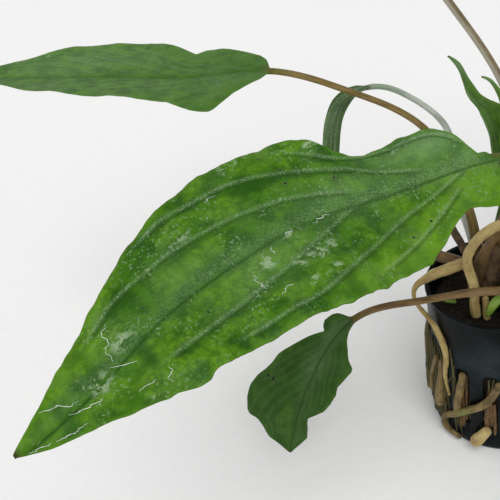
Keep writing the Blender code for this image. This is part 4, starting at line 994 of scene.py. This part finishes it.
def mediumShape(p):
    # a tapered plug: profile of radius and height carried round, then pushed in and out by noise
    foot = wallRadius(potSizes["floor"]) - potSizes["wall"] - p["clear"]
    edge = wallRadius(p["edge"]) - potSizes["wall"] - p["clear"]
    corners = [(0.5, p["foot"]), (foot - 0.8, p["foot"]), (foot, p["foot"] + 0.8), (edge - 0.1, p["edge"] - 1.0),
               (edge - 1.0, p["edge"]), (edge * 0.72, p["shoulder"]), (edge * 0.42, p["crown"]),
               (0.5, p["crown"])]
    knots = chordKnots(corners)
    at = np.linspace(0, knots[-1], p["rows"])
    radius = np.interp(at, knots, [c[0] for c in corners])
    z = np.interp(at, knots, [c[1] for c in corners])
    turn = np.linspace(0, 2 * np.pi, p["sides"], endpoint=False)[None, :]
    points = np.stack(np.broadcast_arrays(radius[:, None] * np.cos(turn), radius[:, None] * np.sin(turn),
                                          z[:, None]), axis=-1)
    rough = 0.55 * softNoise(points, 3.6) + 0.35 * softNoise(points, 1.5, 2.2) + 0.2 * softNoise(points, 0.8, 4.4)
    onTop = ease((at - knots[4] + 2) / 3)[:, None]
    sidePush = -0.45 * (0.5 + 0.5 * rough) * (1 - onTop) * ease((at - knots[1]) / 2)[:, None]
    outward = np.stack(np.broadcast_arrays(np.cos(turn), np.sin(turn), 0 * radius[:, None]), axis=-1)
    points = points + outward * sidePush[..., None]
    points[..., 2] += onTop * (0.2 + 1.5 * rough)
    return points


def mediumFinish(name, dark, light):
    kit = Finish(name, Specular_IOR_Level=0.30)
    here = kit.here()
    clods = kit.noise(here, 2.4, 5, 0.36, 0.64)
    strands = kit.noise(kit.stretched(here, 1.0, 2.6, 1.6), 0.8, 4, 0.45, 0.70, warp=1.5)
    colour = kit.blend(clods, dark, tuple(0.5 * (a + b) for a, b in zip(dark, light)))
    colour = kit.blend(kit.times(strands, 0.7), colour, light)
    return kit.done(colour, kit.spread(clods, 0, 1, 0.55, 0.9), kit.bump(clods, 0.5, 0.6, kit.bump(strands, 0.2, 0.6)))


def strandSet(starts, directions, lengths, radii, bends, sides, steps, blunt=0.35):
    # many thin tapering tubes at once: start + direction*t + bend*t^2, with rings across the way it runs
    t = np.linspace(0, 1, steps)[None, :, None]
    middle = starts[:, None] + directions[:, None] * lengths[:, None, None] * t + bends[:, None] * t ** 2
    tangent = unit(directions[:, None] * lengths[:, None, None] + 2 * bends[:, None] * t)
    helper = np.where(np.abs(tangent[..., 2:]) < 0.9, np.array([0, 0, 1.0]), np.array([1.0, 0, 0]))
    side = unit(np.cross(tangent, helper))
    up = np.cross(tangent, side)
    turn = np.linspace(0, 2 * np.pi, sides, endpoint=False)
    radius = radii[:, None, None] * (blunt + (1 - blunt) * np.sin(np.pi * (0.12 + 0.80 * t)))
    rings = (middle[:, :, None] + side[:, :, None] * (radius[..., None] * np.cos(turn)[:, None])
             + up[:, :, None] * (radius[..., None] * np.sin(turn)[:, None]))
    count = len(starts)
    one = np.array(ringQuads(steps, sides))
    block = steps * sides
    faces = (one[None] + (np.arange(count) * block)[:, None, None]).reshape(-1, 4).tolist()
    caps = np.arange(sides)
    for k in range(count):
        faces.append((k * block + caps[::-1]).tolist())
        faces.append((k * block + block - sides + caps).tolist())
    return rings.reshape(-1, 3), faces


plug = mediumShape(mediumSizes)
plugRows, plugSides = plug.shape[:2]
plugPoints = np.concatenate([plug.reshape(-1, 3), [[0, 0, mediumSizes["foot"]], [0, 0, plug[-1, :, 2].mean()]]])
plugFaces = ringQuads(plugRows, plugSides) + fanCaps(plugRows, plugSides)
addPiece("mediumPlug", plugPoints, plugFaces, mediumFinish("mediumFinish", (0.006, 0.004, 0.002), (0.030, 0.019, 0.009)),
         ("growing_medium",))


def topFibres(p):
    # fibres lie on the plug's top, bending up a little
    dice = np.random.default_rng(21)
    count = p["fibres"]
    reach = wallRadius(50) - potSizes["wall"] - 2.0
    r = reach * np.sqrt(dice.uniform(0.03, 1, count))
    a = dice.uniform(0, 2 * np.pi, count)
    starts = np.stack([r * np.cos(a), r * np.sin(a), 50.9 - 0.9 * (r / reach) ** 2 + dice.uniform(-0.1, 0.5, count)], 1)
    way = dice.uniform(0, 2 * np.pi, count)
    tilt = dice.normal(0.03, 0.12, count)
    directions = unit(np.stack([np.cos(way), np.sin(way), tilt], 1))
    lengths = dice.uniform(2.0, 6.5, count)
    ends = starts + directions * lengths[:, None]
    over = np.hypot(ends[:, 0], ends[:, 1]) > reach + 1.0
    directions[over, :2] *= -1
    bends = dice.normal(0, 0.8, (count, 3)) * [1, 1, 0.45]
    return strandSet(starts, directions, lengths, dice.uniform(0.10, 0.26, count), bends, 4, 5)


fibrePoints, fibreFaces = topFibres(mediumSizes)
addPiece("mediumFibres", fibrePoints, fibreFaces,
         mediumFinish("fibreFinish", (0.014, 0.009, 0.004), (0.085, 0.055, 0.026)))
print("growing medium made")


# rhizome and roots
rhizomeSizes = {"radius": 4.9, "bottom": 44.0, "top": 64.0, "rows": 110, "sides": 90}


def rhizomeShape(p):
    # radius*(profile) with a scar ring every 2.3 mm, random bulges and fine wrinkles
    share = np.linspace(0, 1, p["rows"])
    z = p["bottom"] + (p["top"] - p["bottom"]) * share
    turn = np.linspace(0, 2 * np.pi, p["sides"], endpoint=False)[None, :]
    domed = np.sqrt(np.clip(1 - np.clip((share - 0.80) / 0.22, 0, 1) ** 2, 0.02, 1)) * (0.7 + 0.3 * ease(share / 0.15))
    radius = p["radius"] * domed[:, None]
    spot = np.stack(np.broadcast_arrays(3.5 * np.cos(turn), 3.5 * np.sin(turn), z[:, None]), axis=-1)
    scars = bell(((z[:, None] + 0.7 * np.sin(turn + 1)) % 2.3) - 1.15, 0.35)
    radius = radius * (1 - 0.09 * scars + 0.09 * softNoise(spot, 2.5) + 0.03 * softNoise(spot, 0.8))
    return np.stack(np.broadcast_arrays(radius * np.cos(turn), radius * np.sin(turn), z[:, None]), axis=-1)


def barkFinish(name, dark, middle, light, grain=(1.0, 1.0, 0.25)):
    kit = Finish(name, Specular_IOR_Level=0.30)
    here = kit.here()
    streaks = kit.noise(kit.stretched(here, *grain), 0.8, 5, 0.36, 0.66)
    patches = kit.noise(here, 3.0, 3, 0.38, 0.62)
    colour = kit.blend(streaks, dark, middle)
    colour = kit.blend(kit.times(patches, 0.55), colour, light)
    specks = kit.noise(here, 0.5, 2, 0.62, 0.70)
    colour = kit.blend(kit.times(specks, 0.7), colour, tuple(0.3 * c for c in dark))
    return kit.done(colour, kit.spread(patches, 0, 1, 0.5, 0.75), kit.bump(streaks, 0.25, 0.6))


stock = rhizomeShape(rhizomeSizes)
stockPoints = np.concatenate([stock.reshape(-1, 3), [[0, 0, rhizomeSizes["bottom"]], [0, 0, rhizomeSizes["top"] + 0.2]]])
stockFaces = ringQuads(*stock.shape[:2]) + fanCaps(*stock.shape[:2])
rhizomeFinish = barkFinish("rhizomeFinish", (0.030, 0.017, 0.007), (0.070, 0.040, 0.016), (0.130, 0.080, 0.036))
addPiece("rhizomeStock", stockPoints, stockFaces, rhizomeFinish, ("rhizome",))


def byWall(angle, z, clear):
    # point at an angle round the pot, from the front towards the left, and a distance off the wall
    radius = wallRadius(z) + clear
    turn = math.radians(angle)
    return (-radius * math.sin(turn), -radius * math.cos(turn), z)


def rootFinish(name, look):
    # skin with lengthwise fibres, paler worn patches, dark stains and a breath of green algae
    kit = Finish(name + "RootFinish", Specular_IOR_Level=0.28)
    place = kit.along("rootPlace")
    fibres = kit.noise(kit.stretched(place, 0.12, 1.0, 1.0), 0.5, 4, 0.34, 0.66)
    patches = kit.noise(kit.stretched(place, 0.5, 1.0, 1.0), 2.6, 4, 0.36, 0.64)
    colour = kit.blend(fibres, look["dark"], look["middle"])
    colour = kit.blend(kit.times(patches, 0.6), colour, look["light"])
    stain = kit.noise(kit.here(), 4.2, 4, 0.52, 0.68)
    colour = kit.blend(kit.times(stain, look["stainShare"]), colour, look["stain"])
    specks = kit.noise(place, 0.3, 2, 0.62, 0.70)
    colour = kit.blend(kit.times(specks, 0.6), colour, (0.050, 0.033, 0.012))
    green = kit.times(kit.mark("green"), kit.noise(kit.here(), 1.0, 3, 0.35, 0.6))
    colour = kit.blend(green, colour, (0.140, 0.270, 0.018))
    return kit.done(colour, kit.spread(patches, 0, 1, 0.50, 0.72), kit.bump(fibres, 0.15, 0.6))


paleRoot = {"dark": (0.300, 0.210, 0.070), "middle": (0.450, 0.330, 0.120), "light": (0.580, 0.460, 0.210),
            "stain": (0.170, 0.110, 0.038), "stainShare": 0.45}
tanRoot = {"dark": (0.130, 0.085, 0.028), "middle": (0.215, 0.148, 0.052), "light": (0.300, 0.225, 0.100),
           "stain": (0.060, 0.040, 0.014), "stainShare": 0.75}
brownRoot = {"dark": (0.095, 0.048, 0.018), "middle": (0.170, 0.092, 0.036), "light": (0.270, 0.165, 0.072),
             "stain": (0.045, 0.026, 0.010), "stainShare": 0.70}
oliveRoot = {"dark": (0.060, 0.052, 0.016), "middle": (0.105, 0.090, 0.030), "light": (0.160, 0.138, 0.056),
             "stain": (0.030, 0.028, 0.010), "stainShare": 0.70}


def tubeShape(path, radii, seed, sides=16, lumps=0.07):
    # rings along a natural spline; the radii are spread evenly along it, lumps with noise, rounded ends
    path = np.asarray(path, float)
    knots = chordKnots(path)
    rows = max(24, int(knots[-1] * 2.2))
    even = np.linspace(0, 1, rows)
    u = 0.75 * even + 0.125 * (1 - np.cos(np.pi * even))
    at = u * knots[-1]
    middle = throughPoints(knots, path, at)
    small = knots[-1] * 1e-3
    tangent = unit(throughPoints(knots, path, np.clip(at + small, 0, knots[-1]))
                   - throughPoints(knots, path, np.clip(at - small, 0, knots[-1])))
    flat = np.linalg.svd(path - path.mean(0))[2][2]
    side = unit(np.cross(tangent, flat))
    up = np.cross(tangent, side)
    radius = np.interp(u, np.linspace(0, 1, len(radii)), radii)
    for away, size in ((at, radii[0]), (knots[-1] - at, radii[-1])):
        radius = radius * np.sqrt(1 - (1 - np.clip(away / size, 0.02, 1)) ** 2)
    turn = np.linspace(0, 2 * np.pi, sides, endpoint=False)[None, :]
    spot = np.stack(np.broadcast_arrays(at[:, None], 1.6 * np.cos(turn), 1.6 * np.sin(turn) + 9 * seed), axis=-1)
    grown = radius[:, None] * (1 + lumps * softNoise(spot, 2.4) + 0.5 * lumps * softNoise(spot, 0.9, 3.1))
    rings = (middle[:, None] + side[:, None] * (grown * np.cos(turn))[..., None]
             + up[:, None] * (grown * np.sin(turn))[..., None])
    points = np.concatenate([rings.reshape(-1, 3), middle[[0, -1]]])
    faces = ringQuads(rows, sides) + fanCaps(rows, sides)
    place = np.concatenate([spot.reshape(-1, 3), spot[[0, -1], 0]]) * mm
    return points, faces, place


roots = {
    "root_crown_arch": {"path": [(6.3, -9.6, 73), (6.6, -10.8, 80.5), (4.2, -12, 86.6), (0, -12.2, 88.7),
                                 (-3.3, -12.2, 87), (-6.9, -12.2, 83.4), (-9.5, -12.2, 78.7),
                                 (-10.3, -12.2, 74.7), (-9.3, -12.3, 69.5), (-8.3, -12.6, 63),
                                 (-8.2, -13.1, 57.8), (-7.7, -13.8, 52.7)], "radii": (1.5, 1.65, 1.6, 1.7),
                        "skin": "pale"},
    "root_rim_left": {"path": [(-10.6, -7.9, 71.4), (-14.3, -6.6, 68.7), (-18, -5.3, 66),
                               (-21.7, -3.9, 63.2), (-24.9, -3.3, 60.5), (-27.3, -4.6, 59.4),
                               (-28.6, -6.4, 57.2), (-27.9, -8.6, 55), (-25.6, -11, 52.9),
                               byWall(57, 50.6, 1.75), byWall(51, 48, 1.6), byWall(45, 43, 1.5),
                               byWall(44, 37.5, 1.4), byWall(46.5, 30, 1.3), byWall(43, 20.5, 1.2)],
                      "radii": (1.9, 2.0, 1.9, 1.8, 1.3, 0.75, 0.75, 0.95, 1.15, 1.15, 1.05, 1.0, 0.8, 0.6,
                                0.5), "skin": "pale"},
    "root_brown_left": {"path": [(-11, 0.3, 64.4), (-14.5, 2.7, 63.9), (-18.5, 5.7, 63.1), (-22.3, 9, 62),
                                 (-24.2, 13.4, 58.5), byWall(121, 51, 1.8), byWall(124, 41, 1.5)],
                        "radii": (2.0, 2.1, 2.0, 1.7, 1.3, 1.0, 0.7), "skin": "brown"},
    "root_stub_front": {"path": [(-4.8, -13.1, 61.5), (-4.7, -13.6, 57), (-4.3, -14.5, 52.4)],
                        "radii": (1.05, 1.2), "skin": "pale"},
    "root_low_front": {"path": [byWall(1, 35, 1.7), byWall(6.5, 28, 1.8), byWall(13.5, 23.4, 1.8),
                                byWall(26, 18.4, 1.8), byWall(41, 12.2, 1.8), byWall(49.5, 7.2, 1.8),
                                byWall(48, 3.6, 1.8), byWall(40.5, 2.6, 1.6), byWall(32.5, 2.3, 1.5)],
                       "radii": (1.2, 1.35, 1.35, 1.35, 1.3, 1.3, 1.2, 1.0, 0.9)},
    "root_end_front": {"path": [byWall(8.5, 13, 2.3), byWall(12.5, 10, 2.6), byWall(20.5, 3.9, 2.8)],
                       "radii": (1.7, 2.4), "skin": "pale"},
    "root_slot_left": {"path": [byWall(30.5, 34.4, 0.0), byWall(31, 28.5, 1.3), byWall(34.3, 19, 1.6),
                                byWall(35.5, 14.5, 1.2)], "radii": (1.2, 1.5, 1.5)},
    "root_bulge_left": {"path": [byWall(52.5, 34.5, 0.4), byWall(53, 26, 1.2), byWall(52.5, 19, 2.0),
                                 byWall(53, 13, 2.3)], "radii": (0.9, 1.1, 1.8, 1.9)},
    "root_slot_first": {"path": [byWall(57.5, 35, 1.2), byWall(62.5, 29, 1.3), byWall(69, 21.5, 1.4),
                                 byWall(71.5, 13, 1.5)], "radii": (0.7, 1.05)},
    "root_thin_left": {"path": [byWall(70, 47.5, 1.05), byWall(79, 39, 1.3), byWall(83, 27, 1.45),
                                byWall(83, 17, 1.7), byWall(79, 10, 1.7)], "radii": (0.7, 0.95, 1.1, 1.2),
                       "skin": "olive"},
    "root_slot_right": {"path": [byWall(-59.5, 32, 0.5), byWall(-58.5, 21.5, 1.8), byWall(-52, 12, 2.0),
                                 byWall(-43, 5.5, 2.1), byWall(-33, 2.4, 1.9)], "radii": (1.3, 0.9)},
    "root_slot_back": {"path": [byWall(143, 31, 0.5), byWall(141.5, 21.5, 1.8), byWall(136.5, 11, 2.0),
                                byWall(142, 3, 2.0)], "radii": (1.4, 1.0)},
    "root_back_right": {"path": [byWall(-127, 30, 0.5), byWall(-125, 19.5, 1.8), byWall(-129.5, 9.5, 2.1),
                                 byWall(-122, 2.8, 2.0)], "radii": (1.3, 0.9)},
}
oldStalks = {
    "old_stalk_front": {"path": [(-4.2, -7.6, 54.2), (-3.7, -8.7, 62), (-2.3, -9.2, 71), (-0.6, -9.9, 79)],
                        "radii": (2.3, 1.7)},
    "old_stalk_left": {"path": [(-9.6, -5.5, 66.5), (-10.9, -3.1, 70.9), (-14, 1.3, 75),
                                (-17.6, 6.2, 79.5)], "radii": (1.4, 1.2)},
}


def camelTitle(node):
    first, *rest = node.split("_")
    return first + "".join(word.capitalize() for word in rest)


def hugWall(points, by):
    # what lies outside the wall and under the rim moves towards the axis by this many mm
    reach = np.hypot(points[:, 0], points[:, 1])
    share = 1 - by * ease((53 - points[:, 2]) / 4) * ease((reach - 23) / 2) / np.maximum(reach, 1)
    return points * np.stack([share, share, np.ones(len(points))], axis=1)


rootSkins = {name: rootFinish(name, look) for name, look in
             (("pale", paleRoot), ("tan", tanRoot), ("brown", brownRoot), ("olive", oliveRoot))}
algaeSpot = np.array(byWall(24.5, 16, 3.0))
for k, (node, root) in enumerate(roots.items()):
    points, faces, place = tubeShape(root["path"], root["radii"], k + 1.0)
    points = hugWall(points, 0.45)
    green = bell(np.linalg.norm(points - algaeSpot, axis=1), 3.2)
    addPiece(camelTitle(node), points, faces, rootSkins[root.get("skin", "tan")], (node,),
             {"rootPlace": place, "green": green})


def slotRoots(p):
    # brown roots run up and down inside every slot, close behind the wall's outer face
    dice = np.random.default_rng(47)
    each = 4
    turn = np.repeat(math.radians(p["firstSlot"]) + 2 * np.pi * np.arange(p["slots"]) / p["slots"], each)
    turn = turn + (np.tile(np.linspace(-1, 1, each), p["slots"]) * 1.75 + dice.normal(0, 0.25, len(turn))) / 25
    foot = dice.uniform(5.5, 13, len(turn))
    long = dice.uniform(14, 27, len(turn))
    long = np.minimum(long, 35.5 - foot)
    reach = wallRadius(foot) - dice.uniform(0.55, 1.2, len(turn))
    starts = np.stack([reach * np.cos(turn), reach * np.sin(turn), foot], axis=1)
    lean = dice.normal(0, 0.025, len(turn))
    directions = unit(np.stack([-lean * np.sin(turn), lean * np.cos(turn), np.ones(len(turn))], axis=1))
    sway = dice.normal(0, 0.35, len(turn))
    bends = np.stack([-sway * np.sin(turn), sway * np.cos(turn), 0 * sway], axis=1)
    return strandSet(starts, directions, long, dice.uniform(0.55, 1.0, len(turn)), bends, 8, 9, 0.6)


def wallHairs(count):
    # fine dead roots hang down the wall, most of them on the left side
    dice = np.random.default_rng(52)
    angle = np.radians(np.where(dice.random(count) < 0.75, dice.normal(66, 15, count), dice.uniform(0, 360, count)))
    top = dice.uniform(14, 44, count)
    reach = wallRadius(top) + dice.uniform(0.12, 0.5, count)
    starts = np.stack([-reach * np.sin(angle), -reach * np.cos(angle), top], axis=1)
    lean = dice.normal(0, 0.16, count)
    directions = unit(np.stack([-lean * np.cos(angle), lean * np.sin(angle), -np.ones(count)], axis=1))
    long = np.minimum(dice.uniform(7, 22, count), top - 3)
    sway = dice.normal(0, 1.0, count)
    bends = np.stack([-sway * np.cos(angle), sway * np.sin(angle), 0 * sway], axis=1)
    return strandSet(starts, directions, long, dice.uniform(0.12, 0.42, count), bends, 6, 9)


for title, (points, faces), tones in (("slotRoots", slotRoots(potSizes), brownRoot), ("wallHairs", wallHairs(150), oliveRoot)):
    addPiece(title, points, faces, mediumFinish(title + "Finish", tones["dark"], tones["light"]))

shoots = {
    "shoot_front": {"path": [(3.4, -16.4, 52.8), (2.4, -17.2, 60), (-0.2, -17.3, 63.8), (-2.6, -17.2, 60.6),
                             (-4.2, -17, 56.4)], "radii": (1.2, 1.5, 1.4, 1.5, 0.8)},
    "shoot_left": {"path": [(-14.6, -4.6, 51.9), (-16.6, -5.4, 52.6), (-18.6, -6, 53.2)],
                   "radii": (0.9, 0.4)},
}


for k, (node, old) in enumerate(oldStalks.items()):
    points, faces, place = tubeShape(old["path"], old["radii"], k + 51.0, lumps=0.16)
    addPiece(camelTitle(node), points, faces, rhizomeFinish, (node,))


def crownFibres(count):
    # torn fibres of old leaf bases stand close round the crown and lean outwards a little
    dice = np.random.default_rng(33)
    a = dice.uniform(0, 2 * np.pi, count)
    r = dice.uniform(5.2, 9.6, count)
    starts = np.stack([r * np.cos(a), r * np.sin(a), dice.uniform(50.8, 58.0, count)], axis=1)
    lean = dice.normal(0.10, 0.14, count)
    twist = dice.normal(0, 0.22, count)
    directions = unit(np.stack([lean * np.cos(a) - twist * np.sin(a), lean * np.sin(a) + twist * np.cos(a),
                                np.ones(count)], axis=1))
    bends = dice.normal(0, 0.9, (count, 3)) * [1, 1, 0.3]
    return strandSet(starts, directions, dice.uniform(4, 13, count), dice.uniform(0.12, 0.34, count), bends, 5, 6)


crownPoints, crownFaces = crownFibres(260)
addPiece("crownFibres", crownPoints, crownFaces,
         mediumFinish("crownFibreFinish", (0.022, 0.013, 0.005), (0.090, 0.056, 0.024)))


def shootFinish():
    kit = Finish("shootFinish", Specular_IOR_Level=0.4)
    place = kit.along("rootPlace")
    lines = kit.noise(kit.stretched(place, 0.15, 1.0, 1.0), 0.5, 3, 0.35, 0.65)
    colour = kit.blend(lines, (0.150, 0.300, 0.020), (0.230, 0.380, 0.050))
    foot = kit.noise(kit.here(), 1.5, 3, 0.40, 0.70)
    colour = kit.blend(kit.times(foot, 0.35), colour, (0.300, 0.340, 0.120))
    return kit.done(colour, kit.spread(lines, 0, 1, 0.35, 0.5), kit.bump(lines, 0.1, 0.5))


shootSkin = shootFinish()
for k, (node, shoot) in enumerate(shoots.items()):
    points, faces, place = tubeShape(shoot["path"], shoot["radii"], k + 31.0, lumps=0.04)
    addPiece(camelTitle(node), points, faces, shootSkin, (node,), {"rootPlace": place})
print("rhizome, roots and shoots made")
